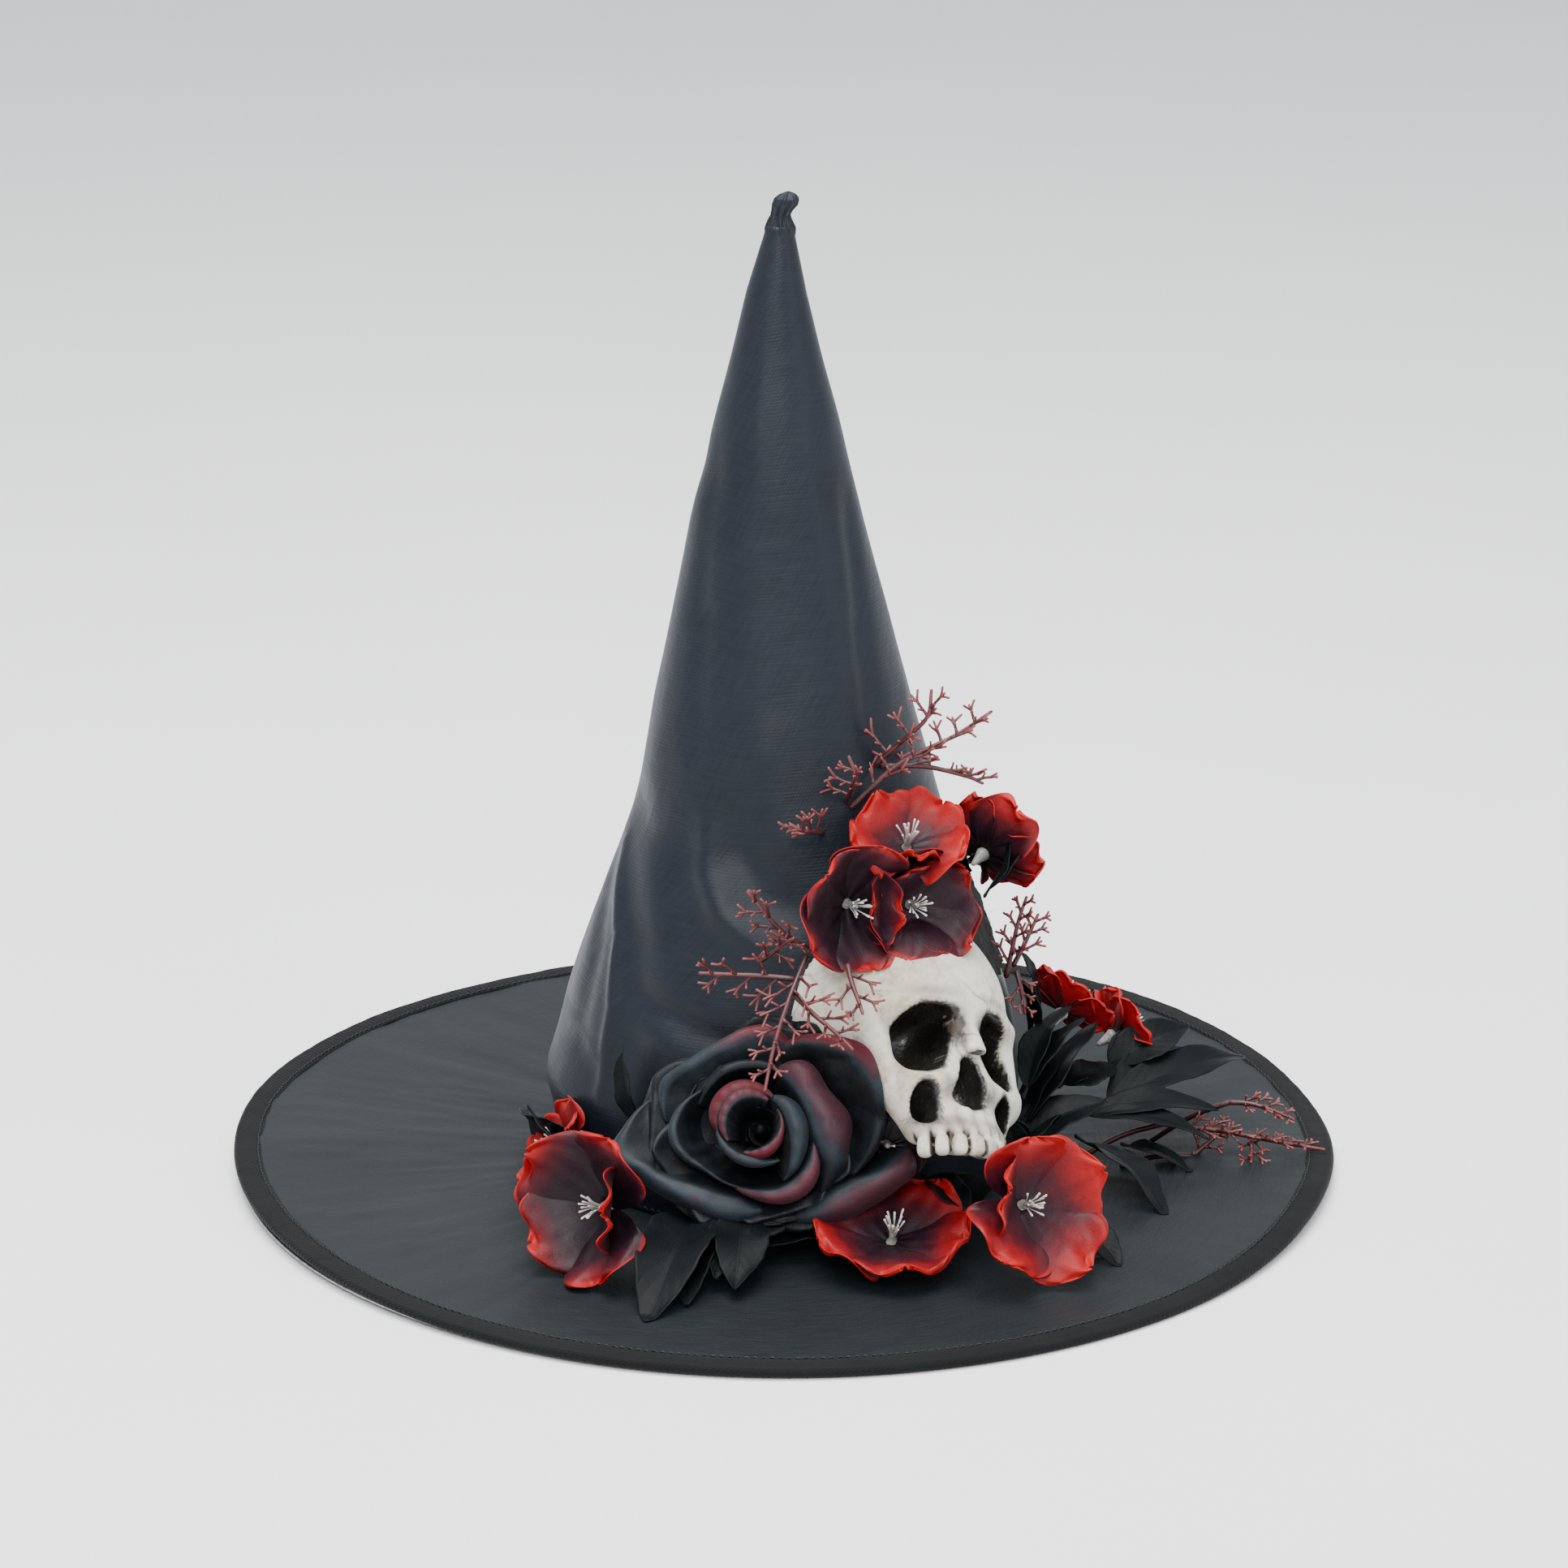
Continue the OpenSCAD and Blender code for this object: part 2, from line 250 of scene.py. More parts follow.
def tube(shape, path, widths, sides=7, **marks):
    """Tube with rounded ends along a path."""
    path = np.asarray(path, float)
    widths = np.asarray(widths, float)
    tangent = np.gradient(path, axis=0)
    tangent /= np.linalg.norm(tangent, axis=1, keepdims=True)
    side = np.cross(tangent[0], [0.31, 0.22, 0.92])
    side = unit(side)
    turns = np.linspace(0, 2 * math.pi, sides, endpoint=False)
    rings, spread = [], {k: [] for k in marks}

    def ring(centre, u, v, width, i):
        rings.append(centre + width * (np.outer(np.cos(turns), u) + np.outer(np.sin(turns), v)))
        for k, value in marks.items():
            value = np.asarray(value, float)
            spread[k].append(np.full(sides, value if value.ndim == 0 else value[i]))

    last = len(path) - 1
    for i, (p, t) in enumerate(zip(path, tangent)):
        side = unit(side - t * np.dot(side, t))
        up = np.cross(t, side)
        if i == 0:
            ring(p - t * widths[0] * 0.7, side, up, widths[0] * 0.5, 0)
        ring(p, side, up, widths[i], i)
        if i == last:
            ring(p + t * widths[-1] * 0.6, side, up, widths[-1] * 0.75, i)
            ring(p + t * widths[-1] * 0.95, side, up, widths[-1] * 0.3, i)
    rows = len(rings)
    faces = grid_faces(rows, sides, True)
    faces.append(tuple(range(sides - 1, -1, -1)))
    faces.append(tuple((rows - 1) * sides + j for j in range(sides)))
    shape.add(np.concatenate(rings), faces, **{k: np.concatenate(v) for k, v in spread.items()})


def curve_points(knots, count):
    """Catmull-Rom curve through a few points."""
    knots = np.asarray(knots, float)
    ends = np.vstack([2 * knots[0] - knots[1], knots, 2 * knots[-1] - knots[-2]])
    out = []
    for u in np.linspace(0, len(knots) - 1, count):
        i = min(int(u), len(knots) - 2)
        f = u - i
        a, b, c, d = ends[i:i + 4]
        out.append(0.5 * (2 * b + (c - a) * f + (2 * a - 5 * b + 4 * c - d) * f * f
                          + (3 * b - a - 3 * c + d) * f ** 3))
    return np.array(out)


# ---------- materials ----------

class Look:
    """One procedural material."""

    def __init__(self, name, **sockets):
        self.material = bpy.data.materials.new(name)
        self.material.use_nodes = True
        self.tree = self.material.node_tree
        self.bsdf = self.tree.nodes["Principled BSDF"]
        for key, value in sockets.items():
            self.bsdf.inputs[key.replace("_", " ")].default_value = value

    def node(self, kind, inputs=None, **settings):
        made = self.tree.nodes.new(kind)
        for key, value in settings.items():
            setattr(made, key, value)
        for key, value in (inputs or {}).items():
            if isinstance(value, bpy.types.NodeSocket):
                self.tree.links.new(value, made.inputs[key])
            else:
                made.inputs[key].default_value = value
        return made

    def put(self, socket, target):
        self.tree.links.new(socket, self.bsdf.inputs[target])

    def mark(self, name, vector=False):
        made = self.node("ShaderNodeAttribute", attribute_name=name)
        return made.outputs["Vector" if vector else "Fac"]

    def place(self):
        return self.node("ShaderNodeTexCoord").outputs["Object"]

    def stretch(self, vector, scale):
        return self.node("ShaderNodeMapping", {"Vector": vector, "Scale": scale}).outputs[0]

    def speckle(self, vector, scale, detail=3.0, rough=0.55):
        made = self.node("ShaderNodeTexNoise", {"Vector": vector, "Scale": scale, "Detail": detail,
                                                "Roughness": rough})
        return made.outputs[0]

    def ramp(self, factor, stops):
        made = self.node("ShaderNodeValToRGB", {0: factor})
        ramp = made.color_ramp
        while len(ramp.elements) < len(stops):
            ramp.elements.new(0.5)
        for element, (at, colour) in zip(ramp.elements, stops):
            element.position = at
            if isinstance(colour, (int, float)):
                colour = (colour, colour, colour)
            element.color = (*colour, 1)
        return made.outputs[0]

    def colour(self, factor, stops):
        self.put(self.ramp(factor, stops), "Base Color")

    def rough(self, factor, low, high):
        self.put(self.ramp(factor, [(0.3, low), (0.7, high)]), "Roughness")

    def bands(self, vector, scale, direction, **inputs):
        inputs = {key.replace("_", " "): value for key, value in inputs.items()}
        made = self.node("ShaderNodeTexWave", {"Vector": vector, "Scale": scale, **inputs},
                         wave_type="BANDS", bands_direction=direction)
        return made.outputs[1]

    def mix(self, a, share_a, b, share_b):
        """Weighted sum of two values."""
        return self.math("ADD", self.math("MULTIPLY", a, share_a),
                         self.math("MULTIPLY", b, share_b))

    def math(self, kind, a, b=0.0):
        return self.node("ShaderNodeMath", {0: a, 1: b}, operation=kind).outputs[0]

    def blend(self, factor, a, b, kind="MIX"):
        made = self.node("ShaderNodeMix", data_type="RGBA", blend_type=kind)
        for key, value in ((0, factor), (6, a), (7, b)):
            if isinstance(value, bpy.types.NodeSocket):
                self.tree.links.new(value, made.inputs[key])
            else:
                made.inputs[key].default_value = value if key == 0 else (*value, 1)
        return made.outputs[2]

    def bump(self, *layers):
        """Layers are (height, strength, distance)."""
        normal = None
        for height, strength, distance in layers:
            made = self.node("ShaderNodeBump", {"Height": height, "Strength": strength,
                                                "Distance": distance})
            if normal is not None:
                self.tree.links.new(normal, made.inputs["Normal"])
            normal = made.outputs[0]
        self.put(normal, "Normal")


def weave(look, pitch):
    """Height of a plain weave whose yarns follow the cloth attribute, in metres."""
    cloth = look.mark("cloth", True)
    yarns = [look.bands(cloth, 0.5 / pitch / 3.1416, direction, Distortion=0.6, Detail=1.0,
                        Detail_Scale=2.0)
             for direction in "XY"]
    return look.math("ADD", *yarns), cloth


def taffeta(name, dark, light, roughness, pitch=0.0006, sheen=0.03, slub=1.0):
    look = Look(name, Sheen_Weight=sheen, Sheen_Roughness=0.35, Specular_IOR_Level=0.22,
                Sheen_Tint=(0.6, 0.75, 0.9, 1))
    height, cloth = weave(look, pitch)
    long_slub = look.speckle(look.stretch(cloth, (900, 60, 1)), 1.0, 4.0)
    cross_slub = look.speckle(look.stretch(cloth, (50, 1100, 1)), 1.0, 3.0)
    mottle = look.speckle(look.place(), 16.0, 4.0)
    grain = look.mix(long_slub, 0.5, cross_slub, 0.5)
    tint = look.mix(grain, 0.65, mottle, 0.35)
    look.colour(tint, [(0.36, dark), (0.64, light)])
    look.rough(grain, roughness - 0.07, roughness + 0.09)
    crumple = look.speckle(look.place(), 55.0, 5.0, 0.6)
    look.bump((crumple, 0.22, 0.0022), (grain, 0.3 * slub, 0.0006), (height, 0.12, 0.0002))
    return look.material


def ribbed_tape(name, dark, light, pitch, roughness=0.82):
    look = Look(name, Sheen_Weight=0.03, Sheen_Roughness=0.5, Specular_IOR_Level=0.15)
    cloth = look.mark("cloth", True)
    ribs = look.bands(cloth, 0.5 / pitch / 3.1416, "X", Distortion=0.8, Detail=2.0,
                      Detail_Scale=1.5)
    fluff = look.speckle(look.place(), 900.0, 3.0)
    wear = look.speckle(look.place(), 22.0, 4.0)
    tint = look.mix(fluff, 0.5, wear, 0.5)
    look.colour(tint, [(0.36, dark), (0.66, light)])
    look.rough(fluff, roughness - 0.06, roughness + 0.06)
    look.bump((ribs, 0.45, 0.0004), (fluff, 0.4, 0.0003))
    return look.material


def thread_look(name, colour):
    look = Look(name, Specular_IOR_Level=0.4)
    twist = look.bands(look.place(), 900.0, "DIAGONAL", Distortion=2.0)
    lighter = tuple(c * 1.8 for c in colour)
    look.colour(twist, [(0.2, colour), (0.8, lighter)])
    look.put(look.ramp(twist, [(0.0, 0.55), (1.0, 0.75)]), "Roughness")
    look.bump((twist, 0.5, 0.0002))
    return look.material


def satin_petal(name, stops, roughness, rim_colour, sheen_colour, sheen):
    """Petal satin: colour runs with the tone attribute, and the rim attribute lightens the edge."""
    look = Look(name, Sheen_Weight=sheen, Sheen_Roughness=0.3, Specular_IOR_Level=0.22,
                Sheen_Tint=(*sheen_colour, 1))
    place = look.place()
    blotch = look.speckle(place, 110.0, 5.0, 0.62)
    fibre = look.speckle(place, 1400.0, 2.0)
    tone = look.math("ADD", look.mark("tone"), look.math("MULTIPLY",
                                                         look.math("SUBTRACT", blotch, 0.5), 0.42))
    colour = look.ramp(tone, stops)
    rim = look.math("MULTIPLY", look.mark("rim"), look.ramp(blotch, [(0.35, 0.35), (0.65, 1.0)]))
    colour = look.blend(rim, colour, rim_colour)
    look.put(look.blend(0.35, colour, look.ramp(fibre, [(0.3, 0.4), (0.7, 1.0)]), "MULTIPLY"),
             "Base Color")
    look.rough(blotch, roughness - 0.1, roughness + 0.12)
    veins = look.mark("vein")
    look.bump((veins, 0.5, 0.0005), (blotch, 0.25, 0.0016), (fibre, 0.3, 0.00025))
    return look.material


def leaf_satin():
    look = Look("black_leaf_satin", Sheen_Weight=0.015, Sheen_Roughness=0.3,
                Specular_IOR_Level=0.12,
                Sheen_Tint=(0.6, 0.72, 0.8, 1))
    place = look.place()
    blotch = look.speckle(place, 70.0, 4.0)
    fibre = look.speckle(place, 1500.0, 2.0)
    tint = look.mix(blotch, 0.6, fibre, 0.4)
    base = look.ramp(tint, [(0.35, (0.0008, 0.0014, 0.0018)), (0.65, (0.0028, 0.0045, 0.0054))])
    edge = look.ramp(look.mark("rim"), [(0.55, (0.0, 0.0, 0.0)), (1.0, (1.0, 1.0, 1.0))])
    look.put(look.blend(edge, base, (0.005, 0.007, 0.008)), "Base Color")
    look.rough(blotch, 0.42, 0.6)
    look.bump((look.mark("vein"), 0.4, 0.0005), (fibre, 0.35, 0.00025))
    return look.material


def sprig_plastic():
    look = Look("dusty_red_plastic", Specular_IOR_Level=0.5, Coat_Weight=0.08, Coat_Roughness=0.3)
    place = look.place()
    grime = look.speckle(place, 260.0, 4.0)
    tip = look.math("ADD", look.mark("tip"), look.math("MULTIPLY",
                                                       look.math("SUBTRACT", grime, 0.5), 0.9))
    look.colour(tip, [(0.05, (0.030, 0.0035, 0.0045)), (0.5, (0.085, 0.009, 0.010)),
                             (0.95, (0.18, 0.036, 0.032))])
    look.rough(grime, 0.35, 0.6)
    look.bump((look.speckle(place, 900.0, 3.0), 0.35, 0.0003))
    return look.material


def pale_plastic():
    look = Look("pale_pin_plastic", Specular_IOR_Level=0.55, Subsurface_Weight=0.15,
                Subsurface_Scale=0.002)
    place = look.place()
    grime = look.speckle(place, 320.0, 4.0)
    tint = look.math("ADD", grime, look.math("MULTIPLY", look.mark("tip"), 0.35))
    look.colour(tint, [(0.3, (0.20, 0.19, 0.18)), (0.55, (0.42, 0.41, 0.39)),
                              (0.85, (0.58, 0.57, 0.55))])
    look.rough(grime, 0.3, 0.5)
    look.bump((look.speckle(place, 1200.0, 2.0), 0.3, 0.0002))
    return look.material


def skull_resin():
    look = Look("aged_bone_resin", Specular_IOR_Level=0.5, Subsurface_Weight=0.06,
                Subsurface_Scale=0.003)
    place = look.place()
    broad = look.speckle(place, 28.0, 5.0)
    fine = look.speckle(place, 240.0, 5.0, 0.65)
    tint = look.mix(broad, 0.6, fine, 0.4)
    bone = look.ramp(tint, [(0.34, (0.24, 0.21, 0.15)), (0.44, (0.42, 0.38, 0.30)),
                            (0.54, (0.57, 0.54, 0.465)),
                            (0.66, (0.65, 0.625, 0.56))])
    cells = look.node("ShaderNodeTexVoronoi", {"Vector": look.node(
        "ShaderNodeVectorMath", {0: place, 1: look.node("ShaderNodeVectorMath", {
            0: look.node("ShaderNodeTexNoise", {"Vector": place, "Scale": 60.0}).outputs[1],
                                                                                 3: 0.012},
            operation="SCALE").outputs[0]}, operation="ADD").outputs[0], "Scale": 42.0},
        feature="DISTANCE_TO_EDGE").outputs[0]
    crack = look.ramp(cells, [(0.0, 1.0), (0.022, 0.0)])
    crack = look.math("MULTIPLY", crack, look.ramp(broad, [(0.5, 0.0), (0.62, 0.55)]))
    bone = look.blend(crack, bone, (0.13, 0.10, 0.075))
    # This mark holds real stains on the bone, and painted shade in the gaps between the teeth
    patchy = look.math("SUBTRACT", look.math("ADD", look.mark("stain"), fine), 0.5)
    stain = look.ramp(patchy, [(0.13, 0.0), (0.45, 0.5), (0.8, 1.0)])
    bone = look.blend(stain, bone, (0.035, 0.026, 0.018))
    deep = look.mark("deep")
    look.put(look.blend(deep, bone, (0.004, 0.0035, 0.003)), "Base Color")
    gloss = look.math("MULTIPLY", deep, 0.25)
    look.put(look.math("SUBTRACT", look.ramp(fine, [(0.3, 0.42), (0.7, 0.6)]), gloss), "Roughness")
    look.bump((broad, 0.35, 0.003), (fine, 0.5, 0.0010),
              (look.math("SUBTRACT", 0.0, crack), 0.6, 0.0004))
    return look.material


def black_felt():
    look = Look("black_felt", Sheen_Weight=0.05, Sheen_Roughness=0.6, Specular_IOR_Level=0.2)
    place = look.place()
    fibre = look.speckle(place, 700.0, 6.0, 0.7)
    clump = look.speckle(place, 130.0, 4.0)
    look.colour(fibre, [(0.35, (0.002, 0.002, 0.002)), (0.7, (0.010, 0.010, 0.010))])
    look.rough(fibre, 0.88, 1.0)
    look.bump((clump, 0.5, 0.0015), (fibre, 0.9, 0.0008))
    return look.material


def hot_glue():
    look = Look("hot_glue", Transmission_Weight=0.55, IOR=1.48, Subsurface_Weight=0.2,
                Subsurface_Scale=0.002)
    place = look.place()
    haze = look.speckle(place, 180.0, 3.0)
    look.colour(haze, [(0.3, (0.62, 0.59, 0.50)), (0.7, (0.80, 0.79, 0.74))])
    look.rough(haze, 0.12, 0.28)
    look.bump((haze, 0.3, 0.0006))
    return look.material


def spring_steel():
    look = Look("spring_steel", Metallic=1.0)
    place = look.place()
    scale = look.speckle(place, 400.0, 4.0)
    look.colour(scale, [(0.3, (0.20, 0.20, 0.21)), (0.7, (0.42, 0.42, 0.43))])
    look.rough(scale, 0.25, 0.45)
    look.bump((scale, 0.2, 0.0001))
    return look.material


def floor_paper():
    look = Look("pale_floor", Specular_IOR_Level=0.25)
    place = look.place()
    soft = look.speckle(place, 3.0, 3.0)
    look.colour(soft, [(0.3, (0.90, 0.90, 0.90)), (0.7, (0.93, 0.93, 0.93))])
    look.rough(soft, 0.75, 0.85)
    look.bump((look.speckle(place, 500.0, 2.0), 0.05, 0.0003))
    return look.material


# ---------- crown surface ----------

CROWN = cad_points("crown_cloth")
HAT_TOP = float(np.asarray(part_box("tip_gather")[1])[2])
crown_z = np.unique(np.round(CROWN[:, 2], 5))
crown_r = np.array([np.hypot(CROWN[:, 0], CROWN[:, 1])[np.abs(CROWN[:,
        2] - z) < 2e-5].max() for z in crown_z])
TABLE_Z = np.arange(0, HAT_TOP, MM)
SMOOTHING = np.hanning(15) / np.hanning(15).sum()
table_r = np.interp(TABLE_Z, crown_z, crown_r)
TABLE_R = np.convolve(np.pad(table_r, 7, "edge"), SMOOTHING, "valid")

# Sideways lean of the cone's axis: (height, shift) in millimetres, along LEAN_SIDE
LEAN = [(0, 0), (40, 0.2), (104, 2.2), (140, 1.5), (184, -0.8), (250, -2.8), (335, -2.8),
        (372, -0.8)]
LEAN_SIDE = np.array([0.829, -0.559])
SEAM_TURN = 180.0

# Folds: (path of (turn, height mm), half width mm, depth mm outwards)
FOLDS = [
    ([(-114, 128), (-96, 102), (-88, 77), (-85, 40)], 3.2, 2.2),
    ([(-103, 128), (-87, 102), (-79, 77), (-77, 42)], 9.0, -2.0),
    ([(-122, 120), (-106, 92), (-99, 60)], 7.0, -1.6),
    ([(-66, 150), (-64, 130), (-56, 117), (-45, 109), (-28, 100)], 5.0, 2.4),
    ([(-52, 160), (-51, 138), (-43, 124), (-24, 114)], 9.5, -4.0),
    ([(-75, 150), (-73, 128), (-66, 108), (-52, 96)], 9.0, -1.6),
    ([(-126, 56), (-104, 58), (-84, 50)], 7.0, -2.2),
    ([(-126, 34), (-104, 36), (-88, 31)], 9.0, 2.4),
    ([(-79, 84), (-58, 76), (-46, 72)], 4.0, -2.0),
    ([(-80, 74), (-60, 66), (-48, 62)], 5.0, 1.6),
    ([(26, 262), (13, 220), (6, 172)], 5.0, -1.3),
    ([(14, 262), (4, 220), (-2, 180)], 6.0, 1.0),
    ([(-7, 290), (-6, 205)], 5.0, 0.9),
    ([(-98, 300), (-78, 221), (-75, 176)], 6.0, -1.2),
    ([(-57, 332), (-48, 265)], 4.0, 0.8),
    ([(-36, 250), (-30, 190), (-24, 160)], 9.0, -1.0),
    ([(-138, 276), (-118, 270), (-96, 266)], 9.0, -0.9),
    ([(-128, 148), (-110, 144), (-98, 140)], 10.0, -1.3),
    ([(-20, 200), (-50, 186), (-80, 180)], 9.0, -0.8),
    ([(60, 118), (84, 96), (100, 60)], 8.0, -2.6),
    ([(72, 126), (96, 104), (114, 66)], 5.0, 2.0),
    ([(110, 150), (126, 110), (132, 70), (130, 24)], 9.0, -2.4),
    ([(150, 210), (146, 160), (156, 110)], 8.0, 1.8),
    ([(-150, 190), (-158, 140), (-150, 90), (-152, 40)], 8.0, -2.2),
    ([(-142, 180), (-148, 130), (-140, 84)], 5.0, 1.6),
    ([(-176, 60), (164, 48), (146, 52)], 5.0, -2.0),
    ([(-178, 40), (166, 30), (148, 32)], 7.0, 1.6),
    ([(96, 46), (112, 50), (128, 44)], 4.6, -2.0),
    ([(90, 262), (84, 210), (90, 168)], 7.0, -1.2),
    ([(-170, 300), (-164, 250), (-170, 214)], 5.0, -1.0),
    ([(40, 120), (62, 112), (80, 116)], 6.0, -1.6),
]


def crown_radius(z):
    return np.interp(z, TABLE_Z, TABLE_R)


def lean_shift(z):
    heights, shifts = zip(*LEAN)
    return np.interp(z / MM, heights, shifts) * MM


def fold_depth(turn, z, radius, path, width, depth):
    """Outward shift from one fold; turn in degrees, z and radius in metres."""
    near, along = np.full(turn.shape, 1e9), np.zeros(turn.shape)
    steps = len(path) - 1
    for i, ((a0, z0), (a1, z1)) in enumerate(zip(path, path[1:])):
        bend = wrap(a1 - a0)
        scale = math.radians(1) * float(crown_radius((z0 + z1) / 2 * MM)) / MM
        run = np.array([bend * scale, z1 - z0])
        x = wrap(turn - a0) * math.radians(1) * radius / MM
        y = z / MM - z0
        t = np.clip((x * run[0] + y * run[1]) / (run @ run), 0, 1)
        gap = np.hypot(x - t * run[0], y - t * run[1])
        closer = gap < near
        near = np.where(closer, gap, near)
        along = np.where(closer, (i + t) / steps, along)
    ends = 0.25 + 0.75 * np.sin(math.pi * np.clip(along, 0.02, 0.98)) ** 0.6
    return depth * ends * np.exp(-(near / width) ** 2)


def crown_surface(turn, z, inset=0.0):
    """Point of the crown's cloth at a turn in degrees and a height in metres."""
    turn, z = np.broadcast_arrays(np.asarray(turn, float), np.asarray(z, float))
    radius = crown_radius(z)
    a = np.radians(turn)
    flat = np.stack([radius * np.sin(a), -radius * np.cos(a), z], -1)
    shift = np.zeros(turn.shape)
    for path, width, depth in FOLDS:
        shift = shift + fold_depth(turn, z, radius, path, width, depth)
    shift = shift + 0.9 * noise(flat, 0.055) + 0.35 * noise(flat, 0.021, 5.3)
    shift = shift + 0.28 * noise(flat * [1, 1, 0.3], 0.011, 9.1)
    seam = wrap(turn - SEAM_TURN)
    across = seam * math.radians(1) * radius / MM
    pucker = 0.35 * np.sin(z / MM * 0.9) * np.exp(-(across / 5) ** 2)
    shift = shift - 0.7 * np.exp(-(across / 0.9) ** 2) + pucker
    calm = smooth_step(2, 12, z / MM) * (0.25 + 0.75 * smooth_step(HAT_TOP / MM, 250, z / MM))
    grown = radius + shift * calm * MM - inset
    lean = lean_shift(z)
    x = grown * np.sin(a) + lean * LEAN_SIDE[0]
    y = -grown * np.cos(a) + lean * LEAN_SIDE[1]
    return np.stack([x, y, z + np.zeros(x.shape)], -1)


def crown_gap(points):
    """Distance of points outside the crown's mean surface."""
    points = np.asarray(points, float)
    lean = lean_shift(points[..., 2])
    x = points[..., 0] - lean * LEAN_SIDE[0]
    y = points[..., 1] - lean * LEAN_SIDE[1]
    return np.hypot(x, y) - crown_radius(points[..., 2])


def sheet_area(piece):
    piece.data.calc_loop_triangles()
    return sum(t.area for t in piece.data.loop_triangles) / 2


def cloth_grid(points):
    """Cloth coordinates in metres of a grid that runs around and up the hat."""
    across = np.linalg.norm(np.diff(points, axis=1, append=points[:, :1]), axis=-1)
    up = np.linalg.norm(np.diff(points, axis=0, prepend=points[:1]), axis=-1)
    u = np.cumsum(across, 1) - across
    return np.stack([u, np.cumsum(up, 0), np.zeros(u.shape)], -1)


def make_crown(material):
    turn, z = around(300, np.linspace(crown_z[0], crown_z[-1] - MM, 270))
    outer = crown_surface(turn, z)
    inner = crown_surface(turn, z, CLOTH)
    shape = Shape()
    closed_shell(shape, outer, inner, cloth_grid(outer))
    piece = shape.build("crown_taffeta", material, ["crown_cloth"])
    min(sheet_area(piece), 0.229)


def make_crown_lining(material):
    low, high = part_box("crown_lining")
    turn, z = around(180, np.linspace(low[2], high[2], 120))
    sag = 0.25 * MM * (1 + np.sin(np.radians(turn * 14) + z * 60)) * smooth_step(0.03, 0.08, z)
    outer = crown_surface(turn, z, 0.95 * MM + sag)
    inner = crown_surface(turn, z, 1.35 * MM + sag)
    shape = Shape()
    closed_shell(shape, outer, inner, cloth_grid(outer))
    piece = shape.build("crown_satin_lining", material, ["crown_lining"])
    min(sheet_area(piece), 0.19)


def make_tip(material):
    """Gathered knot that closes the point of the cone."""
    low, high = (np.asarray(v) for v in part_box("tip_gather"))
    base_z = low[2] - 2 * MM
    rise = high[2] - base_z
    profile = [(0.0, 0.98), (0.12, 1.04), (0.3, 0.98), (0.44, 0.80), (0.55, 0.66), (0.64, 0.72),
               (0.75, 0.86),
               (0.87, 0.80), (0.95, 0.52), (1.0, 0.12)]
    at, wide = zip(*profile)
    steps = np.linspace(0, 1, 54)
    turns = np.linspace(0, 2 * math.pi, 84, endpoint=False)
    a, t = np.meshgrid(turns, steps)
    body = np.interp(t, at, wide) * (high[0] - low[0]) / 2 * 0.92
    pleat = 0.11 * np.sin(9 * a + 5 * t) * smooth_step(0.02, 0.3,
                                                       t) + 0.06 * np.sin(17 * a - 3 * t + 1)
    dents = 0.16 * np.exp(-((a - 5.1) / 0.35) ** 2 - ((t - 0.62) / 0.12) ** 2)
    radius = body * (1 + pleat * smooth_step(0, 0.15, t) - dents)
    z = base_z + rise * t
    tilt = 2.4 * MM * smooth_step(0.45, 1.0, t)
    lean = lean_shift(z) + tilt
    grid = np.stack([radius * np.cos(a) + lean * LEAN_SIDE[0],
                     radius * np.sin(a) + lean * LEAN_SIDE[1], z], -1)
    shape = Shape()
    closed_shell(shape, grid, grid * [0.93, 0.93, 1] - [0, 0, 0.3 * MM], cloth_grid(grid))
    shape.build("tip_gathered_knot", material, ["tip_gather"])


# ---------- brim ----------

BRIM_HIGH = np.asarray(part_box("brim_cloth")[1])
BRIM_HOLE = radii("brim_cloth").min()
BRIM_RIM = radii("brim_cloth").max()
VIEW_TURN = -34.0
# Room that petals and leaves keep above the brim
BRIM_CLEAR = 0.8 * MM

# Lift of the brim's edge: (turn from the viewing side, height mm)
EDGE_LIFT = [(-180, 2.2), (-150, 1.2), (-132, 2.4), (-118, 3.6), (-94, 6.4), (-74, 5.4),
             (-60, 4.4), (-46, 2.6),
             (-30, 1.2), (0, 0.5), (10, 0.4), (27, 0.3), (47, 0.2), (55, 1.2), (64, 2.6),
             (72, 4.6), (84, 3.0),
             (100, 0.2), (115, 2.2), (136, 3.6), (160, 3.0), (180, 2.2)]


def brim_lift(turn, r):
    where = wrap(np.asarray(turn) - VIEW_TURN)
    turns, heights = zip(*EDGE_LIFT)
    edge = sum(np.interp(wrap(where + d), turns, heights) for d in (-6, -3, 0, 3, 6)) / 5
    out = np.clip((r - BRIM_HOLE) / (BRIM_RIM - BRIM_HOLE), 0, 1.05)
    return edge * MM * out ** 1.6


def brim_ripple(turn, r):
    """Soft radial folds of the brim's cloth."""
    a = np.radians(turn)
    ring = np.stack([np.cos(a), np.sin(a), r * 3.0], -1)
    broad = noise(ring, 0.30)
    fine = noise(ring * [1, 1, 0.6], 0.085, 3.7)
    hair = noise(ring * [1, 1, 0.5], 0.03, 8.2)
    out = (r - BRIM_HOLE) / (BRIM_RIM - BRIM_HOLE)
    calm = smooth_step(0, 0.12, out) * smooth_step(1.0, 0.86, out)
    return (0.55 * broad + 0.42 * fine + 0.16 * hair + 0.55) * calm * MM


def brim_point(turn, r, z):
    """Point on the warped brim: z is measured as on a flat brim."""
    return ring_point(turn, r, z + brim_lift(turn, r))


def brim_top(points):
    """Height of the brim's upper face below points."""
    points = np.asarray(points, float)
    r = np.hypot(points[..., 0], points[..., 1])
    turn = np.degrees(np.arctan2(points[..., 0], -points[..., 1]))
    return BRIM_HIGH[2] + brim_lift(turn, r)


